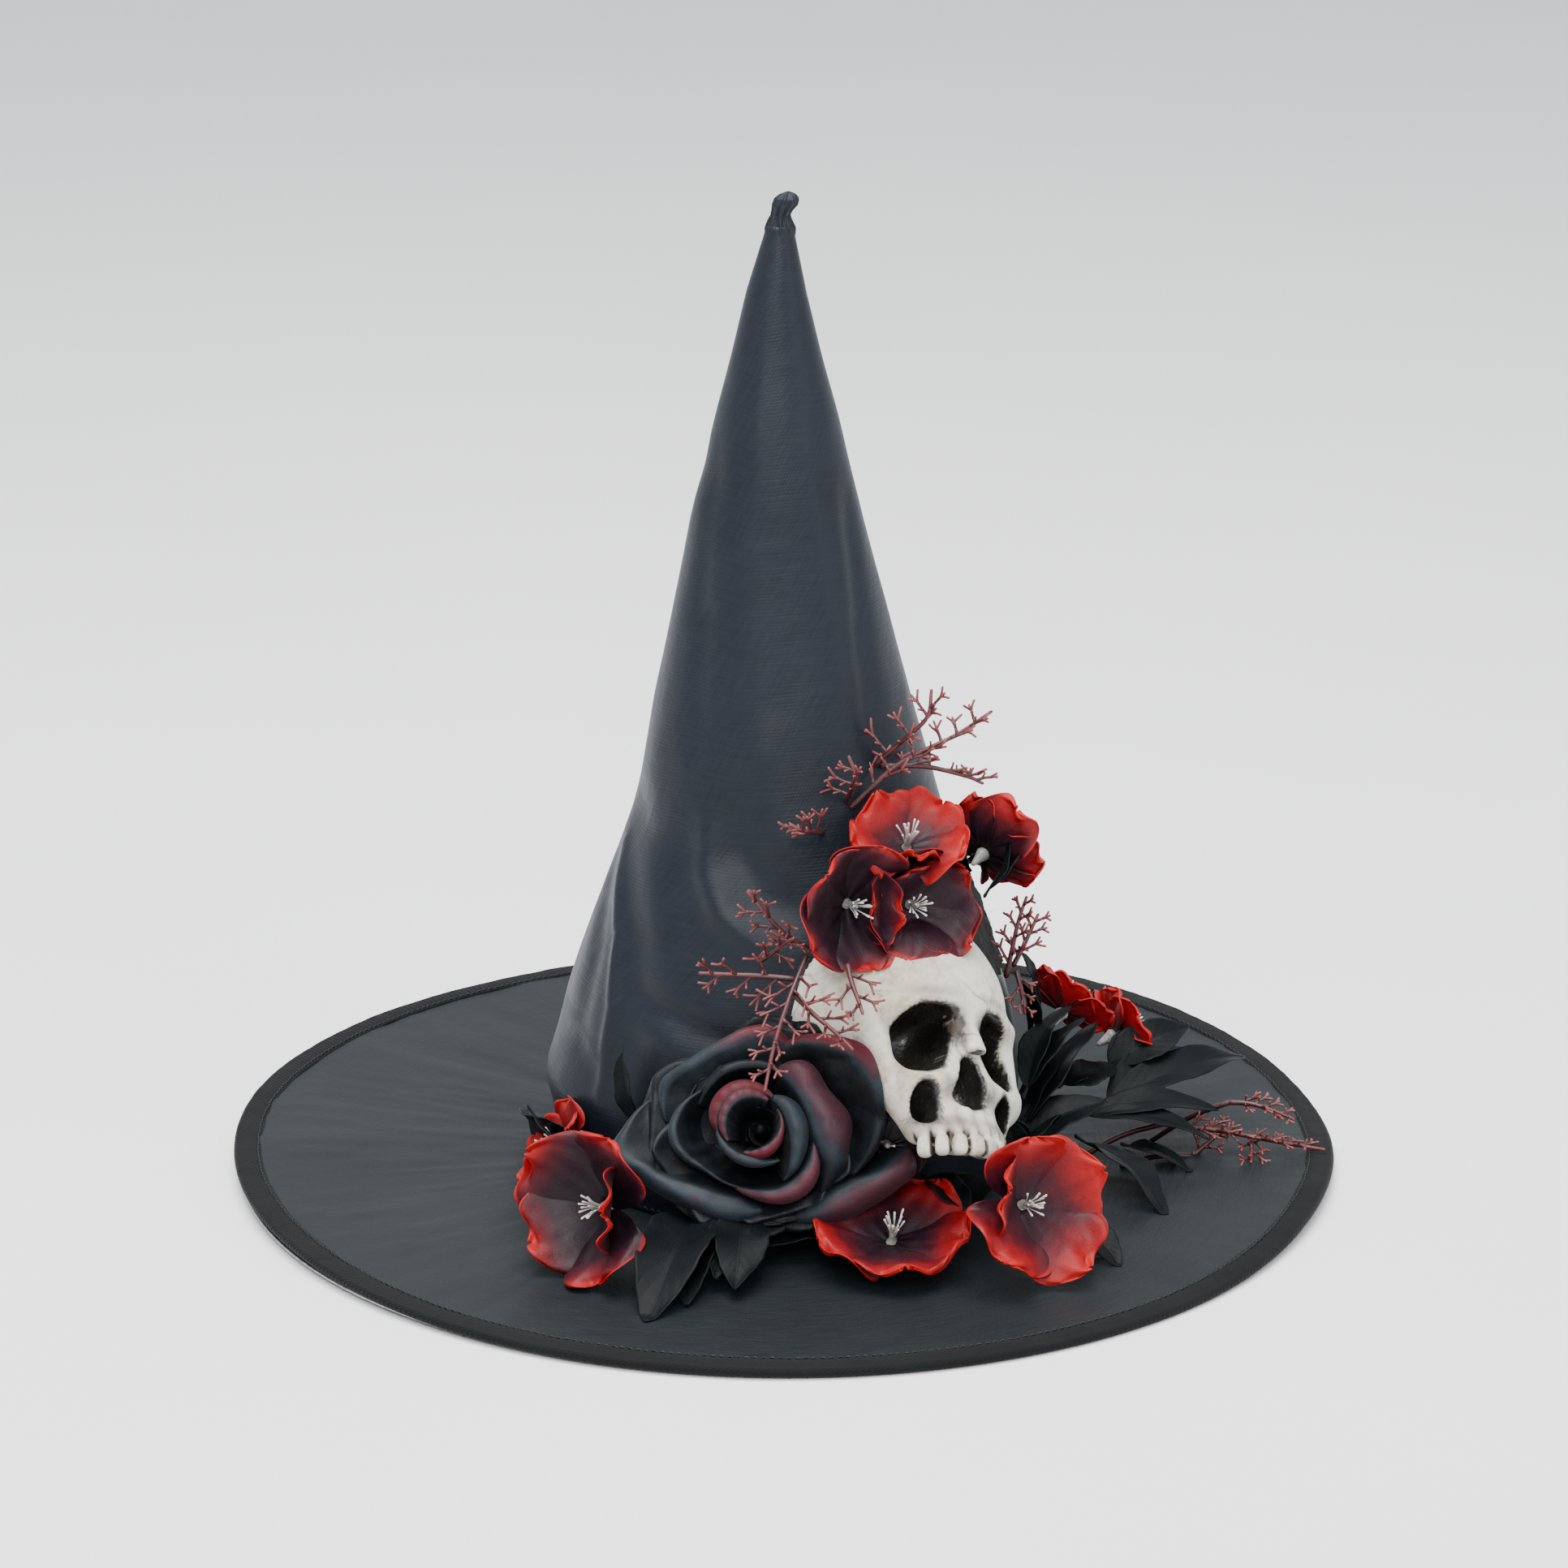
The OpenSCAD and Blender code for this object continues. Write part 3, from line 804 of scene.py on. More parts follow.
def make_brim(material, lining_material):
    turn, r = around(600, np.linspace(BRIM_HOLE, BRIM_RIM - MM, 64))
    ripple = brim_ripple(turn, r)
    top = brim_point(turn, r, BRIM_HIGH[2] + ripple)
    under = brim_point(turn, r, BRIM_HIGH[2] - CLOTH + ripple)
    shape = Shape()
    closed_shell(shape, under, top, cloth_grid(top))
    piece = shape.build("brim_taffeta", material, ["brim_cloth"])
    sheet_area(piece)
    low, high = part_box("brim_lining")
    turn, r = around(300, np.linspace(BRIM_HOLE, BRIM_RIM - MM, 36))
    ripple = 0.4 * brim_ripple(turn + 37, r)
    top = brim_point(turn, r, high[2] + ripple)
    under = brim_point(turn, r, low[2] + ripple)
    shape = Shape()
    closed_shell(shape, under, top, cloth_grid(top))
    piece = shape.build("brim_satin_lining", lining_material, ["brim_lining"])
    sheet_area(piece)


def make_binding(material):
    high = np.asarray(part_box("brim_binding")[1])
    inner = radii("brim_binding").min()
    rim = high[0]
    mid, half = high[2] / 2, high[2] / 2
    width = rim - inner
    outside, inside = [], []
    for u in np.linspace(0, 1, 9):
        puff = 0.35 * MM * math.sin(math.pi * min(1, u * 1.1))
        outside.append((inner + (width - half) * u, mid + half + puff))
        inside.append((inner + (width - half) * u, mid + half - 0.5 * MM + puff))
    for angle in np.linspace(75, -75, 7):
        a = math.radians(angle)
        outside.append((rim - half + half * math.cos(a), mid + half * math.sin(a)))
        inside.append((rim - half + (half - 0.5 * MM) * math.cos(a),
                       mid + (half - 0.5 * MM) * math.sin(a)))
    for u in np.linspace(1, 0, 9):
        outside.append((inner + (width - half) * u, mid - half))
        inside.append((inner + (width - half) * u, mid - half + 0.5 * MM))
    turns = np.linspace(-180, 180, 640, endpoint=False)
    grids = []
    for section in (outside, inside):
        r = np.array([p[0] for p in section])[:, None] + np.zeros(len(turns))
        z = np.array([p[1] for p in section])[:, None] + np.zeros(len(turns))
        turn = turns[None, :] + np.zeros(r.shape)
        a = np.radians(turn)
        ring = np.stack([np.cos(a), np.sin(a), r * 2], -1)
        upper = np.array([p[1] > mid for p in section])[:, None]
        z = z + upper * (0.22 * noise(ring, 0.05) + 0.12 * noise(ring, 0.017, 4.4)) * MM
        r = r + 0.35 * noise(ring * [1, 1, 0], 0.08, 2.2) * MM * (r < inner + 0.3 * width)
        grids.append(brim_point(turn, r, z))
    shape = Shape()
    closed_shell(shape, grids[1], grids[0], cloth_grid(grids[0]))
    piece = shape.build("brim_binding_tape", material, ["brim_binding"])
    min(sheet_area(piece), 2.8 * width)


def stitch_line(name, material, node, count, lift):
    """Row of separate stitches along a circle of the CAD thread."""
    r = radii(node).mean()
    z = cad_points(node)[:, 2].mean()
    shape = Shape()
    pitch = 360 / count
    for i in range(count):
        turn = -180 + i * pitch + rng.uniform(-0.05, 0.05)
        spans = turn + pitch * np.array([-0.36, -0.26, 0.0, 0.26, 0.36])
        wobble = rng.uniform(-0.2, 0.2) * MM
        heights = z + MM * np.array([-0.5, 0.05, 0.25, 0.05, -0.5]) + lift
        path = brim_point(spans, r + wobble + np.linspace(-0.1, 0.1, 5) * MM, heights)
        tube(shape, path, np.array([0.2, 0.27, 0.3, 0.27, 0.2]) * MM, 6)
    shape.build(name, material, [node])


def make_sweatband(material, thread):
    low, high = (np.asarray(v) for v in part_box("sweatband"))
    inner, outer = radii("sweatband").min(), radii("sweatband").max()
    turn, z = around(360, np.linspace(low[2], high[2], 18))
    a = np.radians(turn)
    wave = 0.25 * MM * noise(np.stack([np.cos(a) * 0.1, np.sin(a) * 0.1, z], -1), 0.02)
    top_wave = 0.5 * MM * smooth_step(low[2], high[2], z) * np.sin(np.radians(turn * 5))
    grids = []
    for r in (outer, inner):
        reach = r + np.minimum(wave, 0.2 * MM)
        grids.append(ring_point(turn, reach, z + top_wave))
    shape = Shape()
    closed_shell(shape, grids[0], grids[1], cloth_grid(grids[0]))
    piece = shape.build("head_sweatband", material, ["sweatband"])
    min(sheet_area(piece), 2 * math.pi * outer * (high[2] - low[2]))
    shape = Shape()
    count = 150
    for i in range(count):
        spans = math.radians(i * 360 / count) + math.radians(360 / count) * np.linspace(-0.32,
                                                                                        0.32, 4)
        r = inner - 0.15 * MM
        path = np.stack([r * np.sin(spans), -r * np.cos(spans), np.full(4, low[2] + 3 * MM)], -1)
        tube(shape, path, [0.16 * MM, 0.24 * MM, 0.24 * MM, 0.16 * MM], 6)
    shape.build("sweatband_stitches", thread)


# ---------- skull ----------

SKULL_WIDTH = 0.084
SKULL_LEAN = 35.0
SKULL_TILT = 23.0
VOXEL = 0.0085
# Middle of the line between the eye sockets: from the CAD skull's lowest corner,
# and in skull widths
SKULL_EYES = np.array([0.0497, 0.030, 0.0472])
EYES_IN_SKULL = np.array([0, -0.5, 0.54])
# Eight teeth on an arch, and the degrees between them
TEETH = np.arange(-3.5, 4)
TOOTH_TURN = 17
SKULL_DOME = np.array([0.0, 0.02, 0.83])
SKULL_DOME_SIZE = np.array([0.50, 0.575, 0.475])


def ball(p, centre, size, power=2.0):
    """Rough distance to an ellipsoid; size is its half axes."""
    q = np.abs(p - centre) / size
    k = (q ** power).sum(-1) ** (1 / power)
    return (k - 1) * min(size)


def bar(p, a, b, ra, rb):
    """Distance to a bar between two points whose half axes change from ra to rb."""
    a, b, ra, rb = (np.asarray(v, float) for v in (a, b, ra, rb))
    run = b - a
    t = np.clip(((p - a) @ run) / (run @ run), 0, 1)[..., None]
    size = ra + (rb - ra) * t
    q = (p - a - t * run) / size
    return (np.sqrt((q ** 2).sum(-1)) - 1) * size.min(-1)


def join(a, b, k):
    h = np.clip(0.5 + 0.5 * (b - a) / k, 0, 1)
    return b * (1 - h) + a * h - k * h * (1 - h)


def carve(a, hole, k):
    return -join(-a, hole, k)


def skull_field(p):
    """Signed field of the skull in units of its width, and the field of its hollows."""
    d = join(ball(p, SKULL_DOME, SKULL_DOME_SIZE), ball(p, (0, -0.10, 0.74), (0.44, 0.49, 0.36)),
             0.08)
    m = np.stack([np.abs(p[..., 0]), p[..., 1], p[..., 2]], -1)
    d = join(d, bar(m, (0.34, -0.39, 0.68), (0.06, -0.505, 0.68), (0.06, 0.07, 0.045),
                    (0.06, 0.055, 0.05)), 0.05)
    d = join(d, bar(m, (0.385, -0.33, 0.65), (0.345, -0.38, 0.38), (0.045, 0.07, 0.06),
                    (0.052, 0.07, 0.06)), 0.04)
    d = join(d, bar(m, (0.335, -0.39, 0.34), (0.17, -0.475, 0.33), (0.055, 0.08, 0.075),
                    (0.06, 0.06, 0.05)), 0.04)
    d = join(d, bar(m, (0.31, -0.37, 0.32), (0.19, -0.42, 0.14), (0.06, 0.08, 0.08),
                    (0.05, 0.08, 0.06)), 0.05)
    d = join(d, bar(p, (0, -0.455, 0.64), (0, -0.49, 0.36), (0.13, 0.06, 0.06),
                    (0.19, 0.065, 0.07)), 0.04)
    d = join(d, bar(m, (0.29, -0.24, 0.48), (0.31, -0.06, 0.54), (0.09, 0.14, 0.16),
                    (0.10, 0.20, 0.16)), 0.07)
    d = join(d, bar(p, (0, -0.38, 0.38), (0, -0.43, 0.14), (0.25, 0.13, 0.12),
                    (0.225, 0.145, 0.07)), 0.04)
    for i in TEETH:
        a = math.radians(i * TOOTH_TURN)
        spot = np.array([math.sin(a) * 0.25, -0.325 - math.cos(a) * 0.262, 0.0])
        d = join(d, bar(p, spot + [0, 0.004, 0.09], spot + [0, 0.04, 0.22], (0.018,) * 3,
                        (0.012,) * 3), 0.022)
    slanted = m + np.stack([0.22 * (m[..., 2] - 0.53), 0 * m[..., 1], 0 * m[..., 2]], -1)
    sockets = ball(slanted, (0.204, -0.52, 0.53), (0.118, 0.28, 0.146), 2.9)
    nose = bar(p, (0, -0.62, 0.415), (0, -0.62, 0.285), (0.050, 0.22, 0.050), (0.098, 0.22, 0.060))
    cheek_pits = ball(m, (0.225, -0.52, 0.235), (0.056, 0.20, 0.090))
    temples = ball(m, (0.545, -0.24, 0.56), (0.10, 0.17, 0.18))
    d = carve(d, sockets, 0.025)
    bridge = bar(p, (0, -0.50, 0.65), (0, -0.592, 0.480), (0.062, 0.06, 0.05),
                 (0.046, 0.036, 0.03))
    d = join(d, bridge, 0.03)
    d = carve(d, cheek_pits, 0.015)
    d = carve(d, temples, 0.05)
    d = carve(d, nose, 0.018)
    for i in TEETH:
        a = math.radians(i * TOOTH_TURN)
        ux, uy = math.sin(a), -math.cos(a)
        q = p - np.array([ux * 0.25, -0.325 + uy * 0.262, 0.045])
        across = q[..., 0] * -uy + q[..., 1] * ux
        out = q[..., 0] * ux + q[..., 1] * uy
        wide = (0.037 if abs(i) < 1 else 0.032) * (1 - 0.16 * np.clip(q[..., 2] / 0.06, -1, 1))
        tooth = np.stack([across / wide, out / 0.032, q[..., 2] / 0.046], -1)
        d = np.minimum(d, ((np.abs(tooth) ** 3.2).sum(-1) ** (1 / 3.2) - 1) * 0.030)
    hollows = np.minimum(np.minimum(sockets + 0.5 * smooth_step(0.02, 0.0, bridge), nose),
                         cheek_pits)
    return d, hollows


def skull_frame():
    lean, tilt = math.radians(-SKULL_LEAN), math.radians(SKULL_TILT)
    about_x = np.array([[1, 0, 0], [0, math.cos(lean), -math.sin(lean)],
                        [0, math.sin(lean), math.cos(lean)]])
    about_y = np.array([[math.cos(tilt), 0, math.sin(tilt)], [0, 1, 0],
                        [-math.sin(tilt), 0, math.cos(tilt)]])
    return about_y @ about_x


SKULL_TURN = skull_frame()
SKULL_AT = np.asarray(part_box("skull")[0]) + SKULL_EYES - SKULL_TURN @ EYES_IN_SKULL * SKULL_WIDTH


def clear_of_skull(grid):
    """Lifts petals that would sink into the skull's dome on to its surface."""
    q = ((grid - SKULL_AT) @ SKULL_TURN / SKULL_WIDTH - SKULL_DOME) / SKULL_DOME_SIZE
    k = np.linalg.norm(q, axis=-1, keepdims=True)
    q = q * np.where(k < 1.035, 1.035 / np.maximum(k, 0.3), 1)
    return (SKULL_DOME + q * SKULL_DOME_SIZE) * SKULL_WIDTH @ SKULL_TURN.T + SKULL_AT


def over_bone(grid, face):
    """Slides petals along a direction until they lie over the skull."""
    for _ in range(14):
        q = (grid - SKULL_AT) @ SKULL_TURN / SKULL_WIDTH
        depth = np.clip(0.022 - skull_field(q)[0], 0, 0.2)
        grid = grid + 0.8 * SKULL_WIDTH * depth[..., None] * face
    return grid


def largest_part(points, faces):
    """Drops loose crumbs: keeps the faces of the biggest connected part."""
    quads = np.array(faces)
    label = np.arange(len(points))
    while True:
        lowest = label[quads].min(1)
        new = label.copy()
        for n in range(4):
            np.minimum.at(new, quads[:, n], lowest)
        new = new[new]
        if (new == label).all():
            break
        label = new
    owner = label[quads[:, 0]]
    names, counts = np.unique(owner, return_counts=True)
    quads = quads[owner == names[counts.argmax()]]
    used, packed = np.unique(quads, return_inverse=True)
    return points[used], [tuple(q) for q in packed.reshape(quads.shape).tolist()]


def surface_nets(field, low, step):
    """Smooth mesh of the zero level of a field on a grid."""
    inside = field < 0
    cells = np.zeros(np.array(field.shape) - 1, int)
    corners = [(i, j, k) for i in (0, 1) for j in (0, 1) for k in (0, 1)]
    nx, ny, nz = cells.shape
    for i, j, k in corners:
        cells += inside[i:nx + i, j:ny + j, k:nz + k]
    at = np.argwhere((cells > 0) & (cells < 8))
    values = {c: field[at[:, 0] + c[0], at[:, 1] + c[1], at[:, 2] + c[2]] for c in corners}
    total, hits = np.zeros(at.shape), np.zeros(len(at))
    for a in corners:
        for axis in range(3):
            if a[axis]:
                continue
            b = tuple(1 if n == axis else v for n, v in enumerate(a))
            va, vb = values[a], values[b]
            cross = (va < 0) != (vb < 0)
            t = np.where(cross, va / np.where(cross, va - vb, 1), 0)
            point = np.array(a, float) + t[:, None] * np.eye(3)[axis]
            total += np.where(cross[:, None], point, 0)
            hits += cross
    points = low + (at + total / hits[:, None]) * step
    number = np.full(cells.shape, -1)
    number[at[:, 0], at[:, 1], at[:, 2]] = np.arange(len(at))
    faces = []
    for axis in range(3):
        u, v = (axis + 1) % 3, (axis + 2) % 3
        first = [slice(1, -1)] * 3
        second = [slice(1, -1)] * 3
        first[axis], second[axis] = slice(0, -1), slice(1, None)
        change = inside[tuple(first)] != inside[tuple(second)]
        spots = np.argwhere(change)
        offset = np.ones(3, int)
        offset[axis] = 0
        spots = spots + offset
        keep = np.all(spots < np.array(cells.shape), axis=1)
        spots = spots[keep]
        forward = inside[spots[:, 0], spots[:, 1], spots[:, 2]]
        quad = []
        for du, dv in ((0, 0), (-1, 0), (-1, -1), (0, -1)):
            cell = spots.copy()
            cell[:, u] += du
            cell[:, v] += dv
            quad.append(number[cell[:, 0], cell[:, 1], cell[:, 2]])
        quad = np.stack(quad, 1)
        quad = np.where(forward[:, None], quad, quad[:, ::-1])
        faces += [tuple(q) for q in quad[(quad >= 0).all(1)].tolist()]
    return points, faces


def make_skull(material):
    start = np.array([-0.56, -0.68, -0.05])
    size = np.array([1.12, 1.32, 1.40])
    counts = (size / VOXEL).astype(int)
    axes = [start[n] + VOXEL * np.arange(counts[n]) for n in range(3)]
    p = np.stack(np.meshgrid(*axes, indexing="ij"), -1).astype(np.float32)
    field, hollows = skull_field(p)
    turned = p @ SKULL_TURN.T.astype(np.float32) * SKULL_WIDTH
    world = turned + SKULL_AT
    keep_out = -(crown_gap(world) - 1.2 * MM) / SKULL_WIDTH
    field = np.maximum(field, keep_out)
    points, faces = largest_part(*surface_nets(field, start, VOXEL))
    index = tuple(np.clip(np.round((points - start) / VOXEL).astype(int), 0, counts - 1).T)
    world = points @ SKULL_TURN.T * SKULL_WIDTH + SKULL_AT
    dark = hollows[index]
    deep = smooth_step(0.013, 0.003, dark) * 0.98
    mirror = np.abs(points[:, 0])

    def spot(centre, size):
        q = (np.stack([mirror, points[:, 1], points[:, 2]], 1) - centre) / size
        return np.exp(-(q ** 2).sum(1))

    stain = 0.7 * smooth_step(0.026, 0.008, dark) * (0.35 + 0.9 * noise(world, 0.004, 5.0).clip(0,
                                                                                                1))
    stain += 0.95 * spot((0.062, -0.53, 0.58), (0.045, 0.2, 0.085))
    stain += 0.5 * spot((0.13, -0.52, 0.30), (0.04, 0.2, 0.08))
    stain += 0.45 * spot((0.17, -0.50, 0.73), (0.14, 0.2, 0.03))
    stain += 0.55 * spot((0.14, -0.52, 0.15), (0.20, 0.2, 0.035))
    stain += 0.5 * spot((0.46, -0.25, 0.52), (0.08, 0.16, 0.16))
    # Painted shade: the gaps between the upper teeth are darkened towards the gum
    teeth = np.abs(np.degrees(np.arctan2(points[:, 0], -(points[:, 1] + 0.325))) / TOOTH_TURN % 1)
    gap = np.exp(-(np.minimum(teeth, 1 - teeth) / 0.11) ** 2)
    stain += 1.3 * gap * smooth_step(0.125, 0.085, points[:, 2]) * (points[:, 1] < -0.37)
    shape = Shape()
    shape.add(world, faces, deep=deep, stain=np.clip(stain, 0, 0.92))
    shape.build("skull_ornament", material, ["skull"])


# ---------- flowers ----------

class Axes:
    """Local frame of a flower: its heart, the way it faces, and two sides."""

    def __init__(self, core):
        points = cad_points(core)
        middle = points.mean(0)
        spread = np.linalg.svd(points - middle, full_matrices=False)[2]
        best = max(spread, key=lambda v: np.ptp(points @ v))
        along = (points - middle) @ best
        away = np.linalg.norm(points - middle - np.outer(along, best), axis=1)
        widest = along[away > away.max() - 0.1 * MM].mean()
        if widest > (along.min() + along.max()) / 2:
            best, widest = -best, -widest
        self.heart = middle + best * widest
        self.face = best
        self.right = unit(np.cross([0, 0, 1], best))
        self.up = np.cross(self.face, self.right)

    def at(self, x, y, h):
        return (self.heart + np.multiply.outer(x, self.right) + np.multiply.outer(y, self.up)
                + np.multiply.outer(h, self.face))

    def petals(self, node):
        """(length, angle) of each CAD petal."""
        found = []
        for part in cad_parts(node):
            q = part - self.heart
            x, y = q @ self.right, q @ self.up
            found.append((np.hypot(x, y).max(), math.atan2(y.mean(), x.mean())))
        return found


def petal_outline(y, base=0.3):
    """Half width of a rounded petal along its length, from 0 to 1."""
    lower = base + (1 - base) * np.sin(np.clip(y / 0.55, 0, 1) * math.pi / 2)
    upper = np.sqrt(np.clip(1 - (np.clip(y - 0.55, 0, 1) / 0.45) ** 2, 0, 1))
    return lower * np.where(y < 0.55, 1, upper)


def open_petal(shape, axes, angle, length, half_width, start, dish, curl, waves, wave_size, roll,
               seed,
               tone=0.5, tone_run=0.0, thickness=0.35, rows=30, cols=29, twist=0.0, lift=0.0,
               power=1.0):
    """Petal that spreads from the heart; lengths in metres, angle in radians."""
    s = np.linspace(-1, 1, cols)
    t = 1 - (1 - np.linspace(0, 1, rows)) ** 1.5
    t[-1] = 0.997
    S, T = np.meshgrid(s, t)
    half = half_width * petal_outline(T)
    x = S * half
    y = start + (length - start) * T
    edge = np.maximum(np.abs(S) ** 2 * smooth_step(0.12, 0.5, T), smooth_step(0.6, 1.0, T))
    h = lift + dish * T ** 1.5 + curl * (x / half_width) ** 2 * T
    phase = seed * 2.4
    h = h + wave_size * edge ** 1.3 * np.sin(waves * np.arctan2(x, y - start * 0.5) * 2 + phase)
    h = h + wave_size * 0.5 * edge * np.sin(waves * 1.7 * (S + T) + phase * 1.7)
    rolled = smooth_step(0.62, 1.0, edge)
    h = h - roll * rolled
    y = y - roll * 0.45 * rolled * T
    x = x * (1 - 0.10 * rolled * roll / (3 * MM))
    x = x + twist * T ** 2
    creases = noise(np.stack([x * 1.0, y * 0.35, np.full(x.shape, seed * 0.37)], -1), 0.006)
    h = h + creases * 0.5 * MM * smooth_step(0.1, 0.6, T)
    c, n = math.cos(angle), math.sin(angle)
    grid = axes.at(y * c - x * n, y * n + x * c, h)
    grid = clear_of_skull(grid + 0.6 * MM * noise(grid, 0.012, seed)[..., None] * axes.face)
    vein = 0.5 + 0.5 * np.cos(S * 17) * (1 - T * 0.4)
    rim = smooth_step(0.84, 1.0, edge) * 0.5 * min(1.0, tone_run * 3)
    reach = np.maximum(T, 0.75 * np.abs(S) ** 3 * smooth_step(0.1, 0.6, T) + 0.25 * T)
    leaf_shell(shape, grid, thickness * MM, tone=tone + tone_run * reach ** power, rim=rim,
               vein=vein)


def rest_on_hat(grid):
    """Keeps petals just clear of the crown and the brim."""
    out = grid * [1, 1, 0]
    out /= np.linalg.norm(out, axis=-1, keepdims=True)
    grid = grid + out * np.clip(1.2 * MM - crown_gap(grid), 0, 14 * MM)[..., None]
    grid[..., 2] = np.maximum(grid[..., 2], brim_top(grid) + BRIM_CLEAR)
    return grid


def rolled_petal(shape, axes, tone, crumple, seed, knots, foot=0.34, rows=40, cols=56):
    """Petal whose lip rolls outwards.

    Knots are (angle, lip radius, lip height, roll width, lip tone), in degrees and mm.
    """
    angle, lip, top, roll, colour = curve_points(knots, cols).T
    T = np.linspace(0, 1, rows)[:, None]
    rise, turn = np.clip(T / 0.58, 0, 1), np.clip((T - 0.58) / 0.42, 0, 1)
    roll = np.maximum(roll, 0.3)
    r = lip * (foot + (1 - foot) * rise ** 0.7) + roll * np.sin(turn * math.pi / 2)
    h = 2 + (top - 2) * rise ** 1.5 + 0.24 * roll * np.sin(turn * math.pi)
    h = h - 0.8 * roll * (1 - np.cos(turn * math.pi / 2))
    a = np.radians(angle) + 0 * T
    x, y = ROSE_SHIFT
    grid = axes.at((r * np.cos(a) + x) * MM, (r * np.sin(a) + y) * MM, h * MM)
    free = smooth_step(0.15, 0.6, T) * crumple * MM
    grid = grid + (free * noise(grid, 0.009, seed))[..., None] * axes.face
    grid = grid + (free * noise(grid, 0.014, seed + 4))[..., None] * (axes.right + axes.up)
    shade = tone + (colour - tone) * smooth_step(0.46, 0.72, T) + 0.05 * noise(grid, 0.010,
                                                                               seed + 2)
    streak = 0.5 + 0.5 * np.cos(np.radians(angle) * 18 + 3 * noise(grid, 0.02, seed))
    grid = over_bone(rest_on_hat(grid), axes.face)
    leaf_shell(shape, grid, 0.4 * MM, tone=np.clip(shade, 0, 1),
               rim=0.3 * smooth_step(0.95, 1, T) + 0 * a,
               vein=streak)


# Blossoms by number: opening from 0 cupped to 1 flat, tone at the heart, run of tone to the
# rim, power of that run, ruffle in mm, side in degrees whose petals fold back, and how much
# shorter those are
BLOSSOM_LOOKS = {
    1: (0.62, 0.16, 0.84, 1.0, 2.4, -105, 0.45), 2: (0.34, 0.10, 0.70, 3.6, 2.0, 5, 0.45),
    3: (0.50, 0.22, 0.42, 4.0, 2.6, 110, 0.45), 4: (0.50, 0.06, 0.86, 1.2, 2.0, 0, 0.0),
    5: (0.45, 0.06, 0.80, 2.4, 2.8, 5, 0.42), 6: (0.50, 0.30, 0.60, 0.8, 1.4, 0, 0.0),
    7: (0.72, 0.02, 0.94, 1.2, 2.4, 0, 0.0), 8: (0.58, 0.26, 0.68, 1.5, 3.0, 145, 0.50),
    9: (0.62, 0.40, 0.56, 0.9, 1.1, 0, 0.0), 10: (0.66, 0.26, 0.70, 0.9, 1.2, 0, 0.0),
    11: (0.86, 0.05, 0.08, 1.6, 0.8, 200, 0.72),
}
# Blossom under the skull, which has room for two stamens only
TUCKED_BLOSSOM = 11


def make_blossom(number, satin, plastic):
    axes = Axes(f"blossom_{number}_pin")
    opening, heart_tone, run, power, ruffle, folded_side, folded = BLOSSOM_LOOKS[number]
    shape = Shape()
    for i, (length, angle) in enumerate(axes.petals(f"blossom_{number}_petals")):
        seed = number * 7.3 + i * 1.9
        off = wrap(math.degrees(angle) - folded_side)
        back = folded * math.exp(-(off / 50) ** 2)
        reach = length * (1.08 + 0.08 * math.sin(seed)) * (1 - back)
        open_petal(shape, axes, angle + 0.08 * math.sin(seed * 3), reach,
                   length * 0.74 * (1 - 0.4 * back),
                   1.6 * MM, length * (0.92 - 0.72 * opening) * (1 + 0.5 * back),
                   length * 0.20 * (1 - opening), 4, ruffle * MM, (0.8 + 1.6 * opening) * MM, seed,
                   heart_tone, run, power=power, twist=1.4 * MM * math.sin(seed * 5),
                   lift=0.3 * MM * (i % 2))
    shape.build(f"blossom_{number}_satin", satin, [f"blossom_{number}_petals"])
    make_pin(number, axes, plastic)


def make_pin(number, axes, plastic):
    points = cad_points(f"blossom_{number}_pin") - axes.heart
    reach = points @ axes.face
    back, front = reach.min(), reach.max()
    shape = Shape()
    stem = [axes.heart + axes.face * h for h in np.linspace(back, front * 0.55, 12)]
    profile = np.interp(np.linspace(back, front * 0.55, 12),
                        [back, back * 0.5, -0.3 * MM, 0.6 * MM, front],
                        [0.9 * MM, 1.9 * MM, 3.1 * MM, 1.3 * MM, 0.8 * MM])
    tube(shape, stem, profile, 14, tip=-0.6)
    local = np.random.default_rng(100 + number)
    for i in range(2 if number == TUCKED_BLOSSOM else 14):
        a = i * 2.4 + local.uniform(-0.2, 0.2)
        lean = local.uniform(0.12, 0.42) * front
        tall = front * local.uniform(0.72, 1.04)
        knots = [axes.at(0.5 * MM * math.cos(a), 0.5 * MM * math.sin(a), 0.5 * MM),
                 axes.at(lean * 0.45 * math.cos(a), lean * 0.45 * math.sin(a), tall * 0.55),
                 axes.at(lean * math.cos(a + 0.2), lean * math.sin(a + 0.2), tall)]
        path = curve_points(knots, 7)
        tube(shape, path, np.array([0.26, 0.22, 0.2, 0.2, 0.2, 0.34, 0.42]) * MM, 6,
             tip=np.linspace(0, 1, 7))
    shape.build(f"blossom_{number}_stamens", plastic, [f"blossom_{number}_pin"])


# Middle of the rolled petals beside the calyx, in mm to the right and up
ROSE_SHIFT = (-2.6, 0.8)

